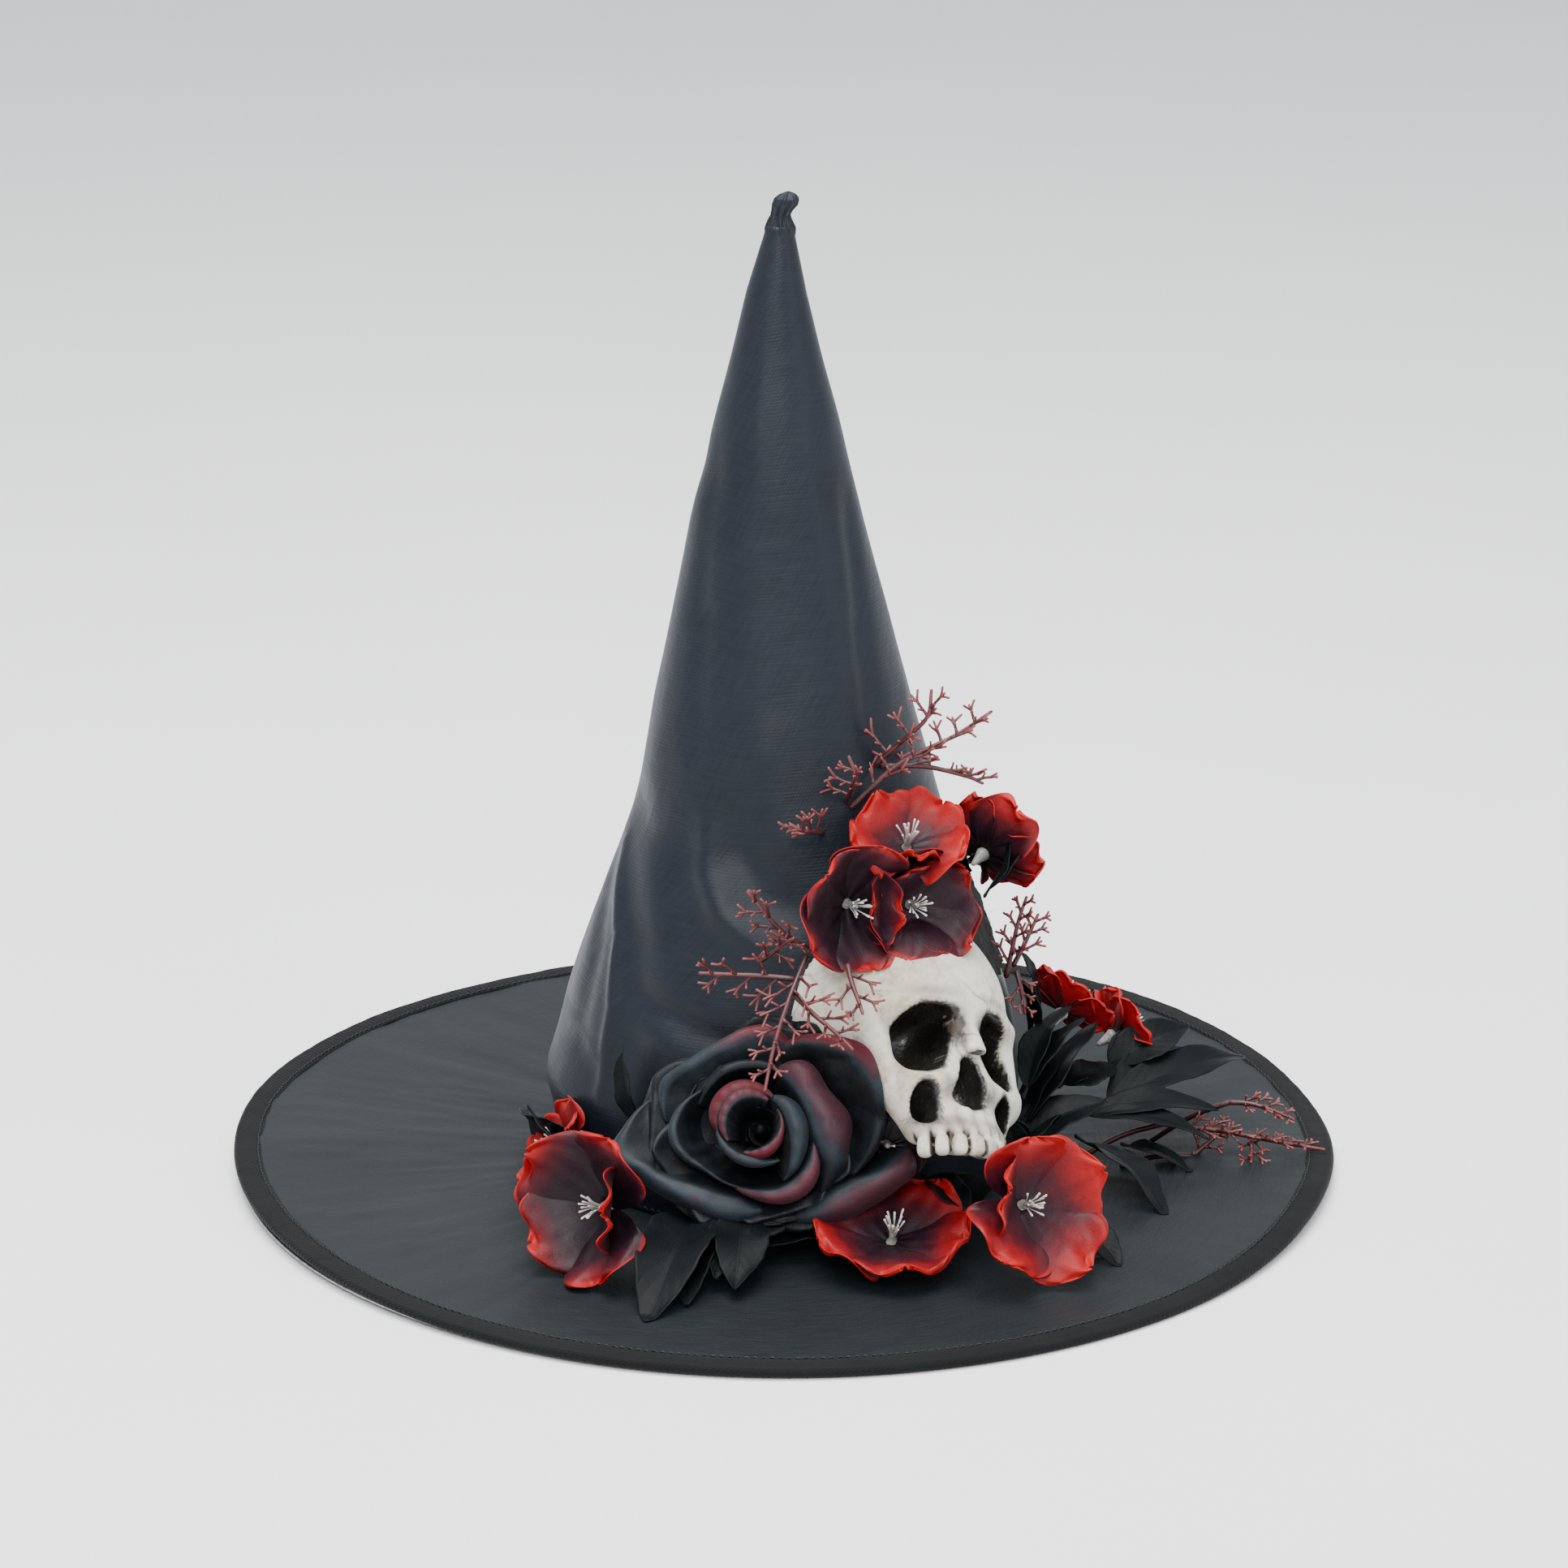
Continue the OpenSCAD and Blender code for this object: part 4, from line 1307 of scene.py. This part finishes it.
# Rose petals with rolled lips: (tone of the cup, crumple mm, seed, knots for rolled_petal)
ROSE_INNER = [
    (0.02, 0.25, 1.7, [(216, 10.2, 21, 0.5, 0.86), (185, 9.3, 23, 2.4, 0.84),
                       (150, 9.2, 24, 3.2, 0.84),
                       (110, 9.4, 24, 4.2, 0.86), (58, 10.2, 22, 0.8, 0.9)]),
    (0.02, 0.25, 3.9, [(34, 10.4, 20, 0.3, 0.6), (-6, 10.2, 22, 1.2, 0.95),
                       (-38, 9.8, 23, 2.8, 0.98),
                       (-68, 9.5, 23, 3.2, 0.98), (-104, 10.2, 21, 0.5, 0.9)]),
    (0.03, 0.35, 6.1, [(192, 12.6, 18, 0.5, 0.9), (165, 12.2, 21, 4.2, 0.96),
                       (130, 11.8, 22, 5.8, 1.0),
                       (95, 11.6, 22, 4.6, 1.0), (56, 12.0, 20, 0.8, 0.9)]),
    (0.03, 0.35, 2.6, [(186, 13.0, 18, 0.3, 0.4), (214, 11.7, 21, 2.2, 0.42),
                       (250, 11.3, 21.6, 3.1, 0.44),
                       (280, 12.0, 21.4, 3.2, 0.42), (310, 15.8, 19, 0.4, 0.38)]),
    (0.02, 0.45, 4.7, [(66, 11.6, 18, 0.5, 0.34), (38, 11.6, 21, 5.2, 0.42),
                       (6, 12.2, 21.6, 7.6, 0.44),
                       (-20, 14.4, 20.6, 6.6, 0.42), (-42, 18.4, 18.6, 4.0, 0.36),
                       (-60, 22.5, 15, 0.5, 0.28)]),
]
ROSE_MIDDLE = [
    (0.02, 0.5, 2.0, [(-108, 22.4, 12, 0.4, 0.78), (-86, 23.4, 16.4, 3.0, 0.80),
                      (-64, 25.0, 17.6, 5.2, 0.80),
                      (-40, 24.6, 17.8, 5.6, 0.80), (-14, 22.4, 15.6, 0.7, 0.72)]),
    (0.05, 1.0, 4.4, [(72, 23.0, 11, 0.8, 0.7), (55, 21.0, 16.6, 10.5, 0.78),
                      (30, 19.6, 19, 10.5, 0.72),
                      (8, 20.8, 19, 14.5, 0.70), (-8, 22.4, 18.4, 12.6, 0.60),
                      (-26, 27.4, 14.6, 8.5, 0.16),
                      (-42, 33.0, 9, 1.5, 0.05)]),
    (0.02, 0.6, 5.3, [(146, 23.0, 12, 0.4, 0.16), (168, 26.4, 14.6, 2.2, 0.30),
                      (188, 27.4, 15.6, 3.2, 0.38),
                      (206, 25.6, 15.4, 2.8, 0.34), (228, 22.8, 14.4, 1.0, 0.18),
                      (262, 22.4, 13, 0.6, 0.08),
                      (294, 23.4, 12, 0.4, 0.06)]),
    (0.04, 0.8, 8.1, [(158, 21.5, 11, 0.5, 0.08), (128, 21.5, 14.4, 3.2, 0.14),
                      (96, 21.5, 14.6, 3.4, 0.16),
                      (58, 22.5, 12, 0.8, 0.10)]),
]
ROSE_OUTER = [
    (0.05, 1.0, 3.3, [(76, 31, 8, 1.0, 0.9), (61, 35.5, 16, 4.2, 0.98), (46, 41, 21, 5.6, 1.0),
                      (31, 45, 23, 5.4, 0.92), (12, 44.4, 22, 3.8, 0.34), (-6, 43, 18, 2.8, 0.14),
                      (-24, 39, 11, 0.8, 0.08)]),
    (0.24, 1.5, 6.2, [(176, 31, 6, 0.8, 0.28), (156, 34.6, 10.4, 3.8, 0.34),
                      (136, 31, 12.4, 4.0, 0.36),
                      (113, 30, 13.4, 4.6, 0.60), (96, 32, 13.4, 5.4, 0.95),
                      (80, 33, 12.4, 5.2, 1.0),
                      (60, 32, 8, 1.5, 0.9)]),
    (0.10, 1.0, 9.4, [(162, 38, 4, 0.8, 0.26), (180, 45, 7.6, 3.0, 0.32), (192, 47, 9, 6.4, 0.38),
                      (205, 40, 11, 6.6, 0.42), (219, 32.4, 12.4, 8.4, 0.44),
                      (241, 27.8, 13, 9.8, 0.46),
                      (262, 26.8, 12.8, 8.2, 0.44), (278, 29, 10, 1.6, 0.38)]),
    (0.03, 0.9, 1.1, [(-68, 33, 5, 0.8, 0.34), (-56, 34, 8.6, 6.4, 0.44),
                      (-42, 36.6, 10.4, 9.6, 0.66),
                      (-30, 40, 11, 10.6, 0.74), (-20, 45, 11, 10.6, 0.74),
                      (-12, 51, 10, 8.8, 0.72),
                      (-5, 55, 7, 1.5, 0.64)]),
]


def make_rose(satin, calyx):
    axes = Axes("rose_calyx")
    shape = Shape()
    for i, (length, angle) in enumerate(axes.petals("rose_outer_petals")):
        open_petal(shape, axes, angle, length * 0.90, length * 0.60, 5 * MM, 8 * MM, 4 * MM, 3,
                   1.2 * MM,
                   4 * MM, 3.1 + i * 2.7, 0.03, 0.16, 0.45, 44, 39, power=2.5)
        open_petal(shape, axes, angle + 0.62, length * 0.82, length * 0.50, 5 * MM, 10 * MM,
                   5 * MM, 3,
                   1.2 * MM, 4 * MM, 9.7 + i * 1.9, 0.02, 0.12, 0.45, 38, 33, lift=2.0 * MM,
                   power=3.0)
    for petal in ROSE_OUTER:
        rolled_petal(shape, axes, *petal)
    shape.build("rose_outer_satin", satin, ["rose_outer_petals"])
    shape = Shape()
    for petal in ROSE_MIDDLE:
        rolled_petal(shape, axes, *petal)
    shape.build("rose_middle_satin", satin, ["rose_middle_petals"])
    shape = Shape()
    for petal in ROSE_INNER:
        rolled_petal(shape, axes, *petal)
    coil = np.linspace(0, 2.6 * math.pi, 80)
    A, T = np.meshgrid(coil, np.linspace(0, 1, 12))
    r = (1.6 + 7.0 * A / coil[-1]) * MM * (0.7 + 0.3 * T)
    h = (4 + (7 - 1.0 * np.sin(A * 1.3)) * T) * MM
    leaf_shell(shape, axes.at(r * np.cos(A), r * np.sin(A), h), 0.35 * MM, tone=0.02 + 0.1 * T,
               rim=0 * T, vein=0.5 + 0.5 * np.sin(A * 9))
    shape.build("rose_inner_satin", satin, ["rose_inner_petals"])
    shape = Shape()
    points = cad_points("rose_calyx") - axes.heart
    reach = points @ axes.face
    steps = np.linspace(reach.min(), reach.max(), 12)
    widths = np.interp(steps, [reach.min(), 0, 2 * MM, reach.max()],
                       [4 * MM, 8.6 * MM, 3.4 * MM, 2.6 * MM])
    tube(shape, [axes.heart + axes.face * v for v in steps], widths, 20, rim=0.0, vein=0.5)
    shape.build("rose_cup", calyx, ["rose_calyx"])


# ---------- leaves and sprigs ----------

def flat_part(points):
    """Base, tip, side, normal and width of a flat CAD solid."""
    middle = points.mean(0)
    axes = np.linalg.svd(points - middle, full_matrices=False)[2]
    along = axes[0]
    reach = (points - middle) @ along
    a, b = middle + along * reach.min(), middle + along * reach.max()
    if crown_gap(a) > crown_gap(b):
        a, b, along = b, a, -along
    side = axes[1]
    normal = np.cross(along, side)
    outwards = np.array([middle[0], middle[1], 0.12])
    if np.dot(normal, outwards) < 0:
        normal, side = -normal, -side
    width = np.ptp((points - middle) @ side)
    return a, b, side, normal, width


def leaf_pairs(node, local):
    """Each CAD leaf, and a shorter one that stands beside it on the same stalk."""
    leaves = []
    for part in cad_parts(node):
        base, tip, side, normal, width = flat_part(part)
        leaves.append((base, tip, side, normal, width * 1.08))
        run = tip - base
        swing = local.choice([-1, 1]) * local.uniform(0.16, 0.34)
        other = base + (run * math.cos(swing) + side * np.linalg.norm(run)
                        * math.sin(swing)) * local.uniform(0.7, 0.9)
        other = other - normal * 1.5 * MM
        if crown_gap(other) > 4 * MM:
            leaves.append((base, other,
                           unit(side - unit(other - base) * (side @ unit(other - base))), normal,
                           width * local.uniform(0.75, 0.95)))
    return leaves


def make_leaf_group(node, material, seed):
    shape = Shape()
    local = np.random.default_rng(seed)
    for base, tip, side, normal, width in leaf_pairs(node, local):
        length = np.linalg.norm(tip - base)
        s, t = np.linspace(-1, 1, 23), np.linspace(0, 1, 42)
        S, T = np.meshgrid(s, t)
        outline = np.sin(math.pi * T ** 0.86) ** 0.8 * (1 - 0.12 * T)
        notch = 1 + 0.02 * np.sin(T * 46 + local.uniform(0, 6)) * np.abs(S) * smooth_step(0.05,
                                                                                          0.2, T)
        half = width * 0.53 * outline * notch + 0.35 * MM
        fold = local.uniform(0.12, 0.34)
        bow = local.uniform(0.03, 0.10) * length
        ripple = local.uniform(0.3, 0.8) * MM * width / (14 * MM)
        phase = local.uniform(0, 6)
        h = fold * half * np.abs(S) ** 1.2
        h = h + bow * np.sin(math.pi * T) - bow * 0.9 * T ** 3
        h = h + ripple * np.sin(T * 13 + phase + S * 0.8) * np.abs(S) ** 1.5 * smooth_step(0.05,
                                                                                           0.3, T)
        h = h - 0.16 * MM * np.exp(-(S / 0.06) ** 2)
        swing = local.uniform(-0.07, 0.07) * length * np.sin(math.pi * T) * 0.6
        grid = (base + np.multiply.outer(T, tip - base) + np.multiply.outer(S * half + swing, side)
                + np.multiply.outer(h, normal))
        floor = brim_top(grid) + BRIM_CLEAR
        grid[..., 2] = np.maximum(grid[..., 2], floor)
        veins = np.abs(np.sin((T * 9 - np.abs(S) * 2.2) * math.pi)) ** 0.4
        middle_vein = np.exp(-(S / 0.07) ** 2)
        leaf_shell(shape, grid, 0.4 * MM, vein=np.clip(veins * 0.6 + middle_vein, 0, 1.4) / 1.4,
                   rim=smooth_step(0.86, 1, np.abs(S)))
        stalk = curve_points([base - (tip - base) * 0.12 + normal * -0.4 * MM, base,
                              base + (tip - base) * 0.35 + normal * (bow * 0.8 - 0.2 * MM)], 8)
        stalk[:, 2] = np.maximum(stalk[:, 2], brim_top(stalk) + BRIM_CLEAR)
        tube(shape, stalk, np.linspace(0.7, 0.3, 8) * MM, 6, vein=0.5, rim=0.0)
    shape.build(node.replace("leaves", "satin_leaves"), material, [node])


def grow(shape, start, heading, side, normal, length, width, local, tip_from, tip_to):
    """One prong: a short curved tapering tube."""
    bend = local.uniform(-0.18, 0.18)
    rise = local.uniform(-0.10, 0.22)
    end = start + heading * length + side * bend * length + normal * rise * length
    middle = start + heading * length * 0.5 + side * bend * 0.2 * length + normal * rise * 0.7 * length
    path = curve_points([start, middle, end], 6)
    path[:, 2] = np.maximum(path[:, 2], brim_top(path) + width)
    widths = width * np.array([1.0, 0.86, 0.76, 0.7, 0.72, 0.78])
    tube(shape, path, widths, 7, tip=np.linspace(tip_from, tip_to, 6))
    return path


# Heights in metres: sprigs above the first start at the cone, and those below the second
# that point outwards have a stalk on the brim
HIGH_SPRIG = 0.14
LOW_SPRIG = 0.05
STALK_REACH = 0.03
# Sprig whose root is cut short by this share, because it starts near a petal
UNDER_PETAL_SPRIG = 7
ROOT_CUT = 0.30


def make_sprig(number, material):
    node = f"sprig_{number}"
    shape = Shape()
    local = np.random.default_rng(500 + number)
    for part in cad_parts(node):
        base, tip, side, normal, width = flat_part(part)
        length = np.linalg.norm(tip - base)
        along = unit(tip - base)
        bow = local.uniform(-0.05, 0.09) * length
        if number == UNDER_PETAL_SPRIG:
            base = base + along * length * ROOT_CUT
            length *= 1 - ROOT_CUT
        out = unit(base * [1, 1, 0])
        tuck = out * max(float(crown_gap(base)) - 2 * MM, 0) * (base[2] > HIGH_SPRIG)
        knots = [base - tuck, base + along * length * 0.35 + normal * bow
                 + side * local.uniform(-0.03, 0.03) * length - tuck * 0.5,
                 base + along * length * 0.7 + normal * bow * 0.8, tip]
        if base[2] < LOW_SPRIG and along @ out > 0.6:
            stalk = base - unit(along * [1, 1, 0]) * STALK_REACH
            stalk[2] = brim_top(stalk) + 1.2 * MM
            path = curve_points([stalk, (stalk + base) / 2 + [0, 0, 2 * MM], base], 10)
            tube(shape, path, np.full(10, 1.1 * MM), 8, tip=0.05)
        stem = curve_points(knots, 20)
        stem[:, 2] = np.maximum(stem[:, 2], brim_top(stem) + 0.9 * MM)
        tube(shape, stem, np.linspace(1.1, 0.6, 20) * MM, 8, tip=np.linspace(0.05, 0.7, 20))
        step = width * 0.40
        place, hand = length * 0.16, 1
        while place < length * 0.93:
            at = stem[int(np.clip(place / length * 19, 0, 19))]
            reach = width * 0.60 * (1.12 - 0.5 * place / length) * local.uniform(0.9, 1.1)
            turn = math.radians(local.uniform(40, 56))
            heading = unit(along * math.cos(turn) + side * hand * math.sin(turn) + normal
                           * local.uniform(-0.1, 0.3))
            arm = grow(shape, at, heading, along, normal, reach * 0.62, 0.75 * MM, local, 0.1, 0.4)
            for fan in (-0.8, 0.0, 0.7):
                branch = unit(heading * math.cos(fan) + np.cross(normal, heading) * math.sin(fan)
                              + normal * local.uniform(-0.25, 0.35))
                grow(shape, arm[-1 if fan else -2], branch, along, normal,
                     reach * local.uniform(0.28, 0.42),
                     0.62 * MM, local, 0.4, 1.0)
            knob = unit(heading * 0.4 - along * 0.2 + normal)
            grow(shape, arm[2], knob, side, along, reach * 0.28, 0.55 * MM, local, 0.3, 0.9)
            place += step * local.uniform(0.44, 0.56)
            hand = -hand
    shape.build(f"forked_sprig_{number}", material, [node])


# ---------- felt and glue ----------

def patch(turn_from, turn_to, low, high, rows, cols):
    turn, z = np.meshgrid(np.linspace(turn_from, turn_to, cols), np.linspace(low, high, rows))
    return turn, z


def make_felt(material):
    points = cad_points("felt_backing")
    turns = np.degrees(np.arctan2(points[:, 0], -points[:, 1]))
    turn, z = patch(turns.min(), turns.max(), points[:, 2].min(), points[:, 2].max(), 60, 130)
    edge_wave = 1.4 * MM * noise(np.stack([turn * 0.02, z, z * 0], -1), 0.09)
    z = z + edge_wave
    outer = crown_surface(turn, z, -1.9 * MM)
    lump = 0.45 * MM * noise(outer, 0.004)[..., None] + 0.3 * MM * noise(outer, 0.0015)[..., None]
    away = np.stack([np.sin(np.radians(turn)), -np.cos(np.radians(turn)), np.zeros(turn.shape)],
                    -1)
    shape = Shape()
    closed_shell(shape, outer + away * lump, crown_surface(turn, z, -0.3 * MM), cloth_grid(outer),
                 False)
    local = np.random.default_rng(77)
    for _ in range(500):
        at = outer[local.integers(0, 60), local.integers(0, 130)]
        out = unit([at[0], at[1], 0])
        drift = local.normal(0, 1, 3)
        path = curve_points([at, at + out * 0.8 * MM + drift * 0.5 * MM,
                             at + out * 1.1 * MM + drift * 1.3 * MM], 4)
        shape.add(*hair(path, 0.06 * MM), cloth=np.zeros((12, 3)))
    piece = shape.build("felt_patch", material, ["felt_backing"])


def hair(path, width):
    """Points and faces of a three-sided fibre."""
    ring = np.array([[1, 0, 0], [-0.5, 0.8, 0.3], [-0.5, -0.8, -0.3]]) * width
    points = (path[:, None, :] + ring[None]).reshape(-1, 3)
    faces = grid_faces(len(path), 3, True)
    faces += [(2, 1, 0), (len(points) - 3, len(points) - 2, len(points) - 1)]
    return points, faces


def make_glue(material):
    shape = Shape()
    for n, part in enumerate(cad_parts("glue_pads")):
        centre = part.mean(0)
        turn0 = math.degrees(math.atan2(centre[0], -centre[1]))
        spread = np.linalg.norm(np.ptp(part, axis=0)) / 2 * 0.62
        rings, spokes = 14, 34
        rho, a = np.meshgrid(np.linspace(0.02, 1, rings),
                             np.linspace(0, 2 * math.pi, spokes, endpoint=False),
                             indexing="ij")
        wobble = 1 + 0.13 * np.sin(3 * a + n) + 0.07 * np.sin(7 * a + 2 * n)
        radius = float(crown_radius(centre[2]))
        turn = turn0 + np.degrees(rho * spread * wobble * np.cos(a) / radius)
        z = centre[2] + rho * spread * wobble * np.sin(a)
        height = (1.05 * MM) * np.sqrt(np.clip(1 - rho ** 2, 0, 1)) + 0.12 * MM
        shape_top = crown_surface(turn, z, -height)
        closed_shell(shape, crown_surface(turn, z, -0.05 * MM), shape_top, cloth_grid(shape_top))
    shape.build("glue_beads", material, ["glue_pads"])


# ---------- scene ----------

def add_light(name, place, target, size, power, colour):
    data = bpy.data.lights.new(name, "AREA")
    data.shape, data.size, data.energy, data.color = "DISK", size, power, colour
    light = bpy.data.objects.new(name, data)
    bpy.context.scene.collection.objects.link(light)
    light.location = place
    light.rotation_euler = (Vector(target) - Vector(place)).to_track_quat("-Z", "Y").to_euler()


CAMERA_DISTANCE = 1.890
CAMERA_RISE = 22.404
CAMERA_LENS = 112.57
SENSOR_WIDTH = 36.0
CAMERA_REACH = 50.0
CAMERA_TARGET = (0.0, 0.0, 0.147)


def make_camera():
    turn, rise = math.radians(VIEW_TURN), math.radians(CAMERA_RISE)
    away = np.array([math.sin(turn) * math.cos(rise), -math.cos(turn) * math.cos(rise),
                     math.sin(rise)])
    data = bpy.data.cameras.new("camera")
    data.lens, data.sensor_width, data.clip_end = CAMERA_LENS, SENSOR_WIDTH, CAMERA_REACH
    camera = bpy.data.objects.new("camera", data)
    bpy.context.scene.collection.objects.link(camera)
    camera.location = away * CAMERA_DISTANCE
    look = Vector(CAMERA_TARGET) - camera.location
    camera.rotation_euler = look.to_track_quat("-Z", "Y").to_euler()
    bpy.context.scene.camera = camera


# Lights: (name, place, target, diameter in metres, watts, colour)
LIGHTS = [
    ("overhead", (-0.2, 0.0, 1.9), (0, 0, 0.1), 1.6, 70, (1, 1, 1)),
    ("key", (-1.1, -1.5, 1.6), (0, 0, 0.15), 0.9, 34, (1.0, 0.99, 0.97)),
    ("fill", (0.9, -1.9, 0.9), (0, 0, 0.1), 1.2, 10, (1, 1, 1)),
]
SKY_COLOUR = (0.93, 0.96, 1.0, 1)
FLOOR_REACH = 6.0


def make_surroundings():
    mesh = bpy.data.meshes.new("floor")
    corners = [(x * FLOOR_REACH, y * FLOOR_REACH, 0) for x,
               y in ((-1, -1), (1, -1), (1, 1), (-1, 1))]
    mesh.from_pydata(corners, [], [(0, 1, 2, 3)])
    mesh.materials.append(floor_paper())
    floor = bpy.data.objects.new("floor", mesh)
    bpy.context.scene.collection.objects.link(floor)
    world = bpy.data.worlds.new("studio")
    world.use_nodes = True
    world.node_tree.nodes["Background"].inputs[0].default_value = SKY_COLOUR
    world.node_tree.nodes["Background"].inputs[1].default_value = 1.0
    bpy.context.scene.world = world
    for light in LIGHTS:
        add_light(*light)


def main():
    shell = taffeta("slate_taffeta", (0.0038, 0.0058, 0.0098), (0.0090, 0.0126, 0.0200), 0.47)
    brim_shell = taffeta("brim_taffeta_cloth", (0.0045, 0.0066, 0.0080), (0.0105, 0.0140, 0.0160),
                         0.47)
    lining = taffeta("black_satin_lining", (0.004, 0.0045, 0.0055), (0.009, 0.010, 0.012), 0.36,
                     0.0005, 0.1)
    binding = ribbed_tape("binding_tape_cloth", (0.0018, 0.0024, 0.0025), (0.0052, 0.0064, 0.0062),
                          0.0011)
    band = ribbed_tape("sweatband_grosgrain", (0.008, 0.008, 0.009), (0.022, 0.022, 0.024), 0.0012,
                       0.75)
    thread = thread_look("black_thread", (0.010, 0.011, 0.012))
    make_crown(shell)
    make_crown_lining(lining)
    make_tip(shell)
    make_brim(brim_shell, lining)
    make_binding(binding)
    stitch_line("binding_stitches", thread, "binding_stitching", 430, 0.25 * MM)
    stitch_line("crown_base_stitches", thread, "crown_base_stitching", 180, 0.0)
    make_sweatband(band, thread)
    make_skull(skull_resin())
    make_felt(black_felt())
    make_glue(hot_glue())
    leaves = leaf_satin()
    rose = satin_petal("rose_petal_satin", [
        (0.0, (0.0016, 0.0024, 0.0036)), (0.2, (0.0060, 0.0090, 0.0120)),
                                            (0.42, (0.017, 0.026, 0.034)),
        (0.6, (0.036, 0.018, 0.026)), (0.8, (0.070, 0.021, 0.029)), (1.0, (0.085, 0.0075, 0.013))],
        0.5, (0.075, 0.050, 0.058), (0.85, 0.8, 0.85), 0.05)
    blossom = satin_petal("blossom_petal_satin", [
        (0.0, (0.0035, 0.0020, 0.0040)), (0.3, (0.020, 0.0042, 0.010)),
                                                  (0.5, (0.075, 0.0045, 0.009)),
        (0.75, (0.28, 0.0045, 0.0060)), (1.0, (0.44, 0.0075, 0.0080))], 0.48, (0.54, 0.014, 0.013),
                          (1.0, 0.5, 0.45),
        0.04)
    plastic = pale_plastic()
    for number in range(1, 12):
        make_blossom(number, blossom, plastic)
    make_rose(rose, leaves)
    for seed, node in enumerate(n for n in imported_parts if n.startswith("leaves")):
        make_leaf_group(node, leaves, 40 + seed)
    sprigs = sprig_plastic()
    for number in range(1, 12):
        make_sprig(number, sprigs)
    for node, material in (("brim_hoop", spring_steel()), ("crown_seam", shell)):
        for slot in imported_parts[node].material_slots:
            slot.material = material
    make_surroundings()
    make_camera()


main()

bpy.context.view_layer.update()
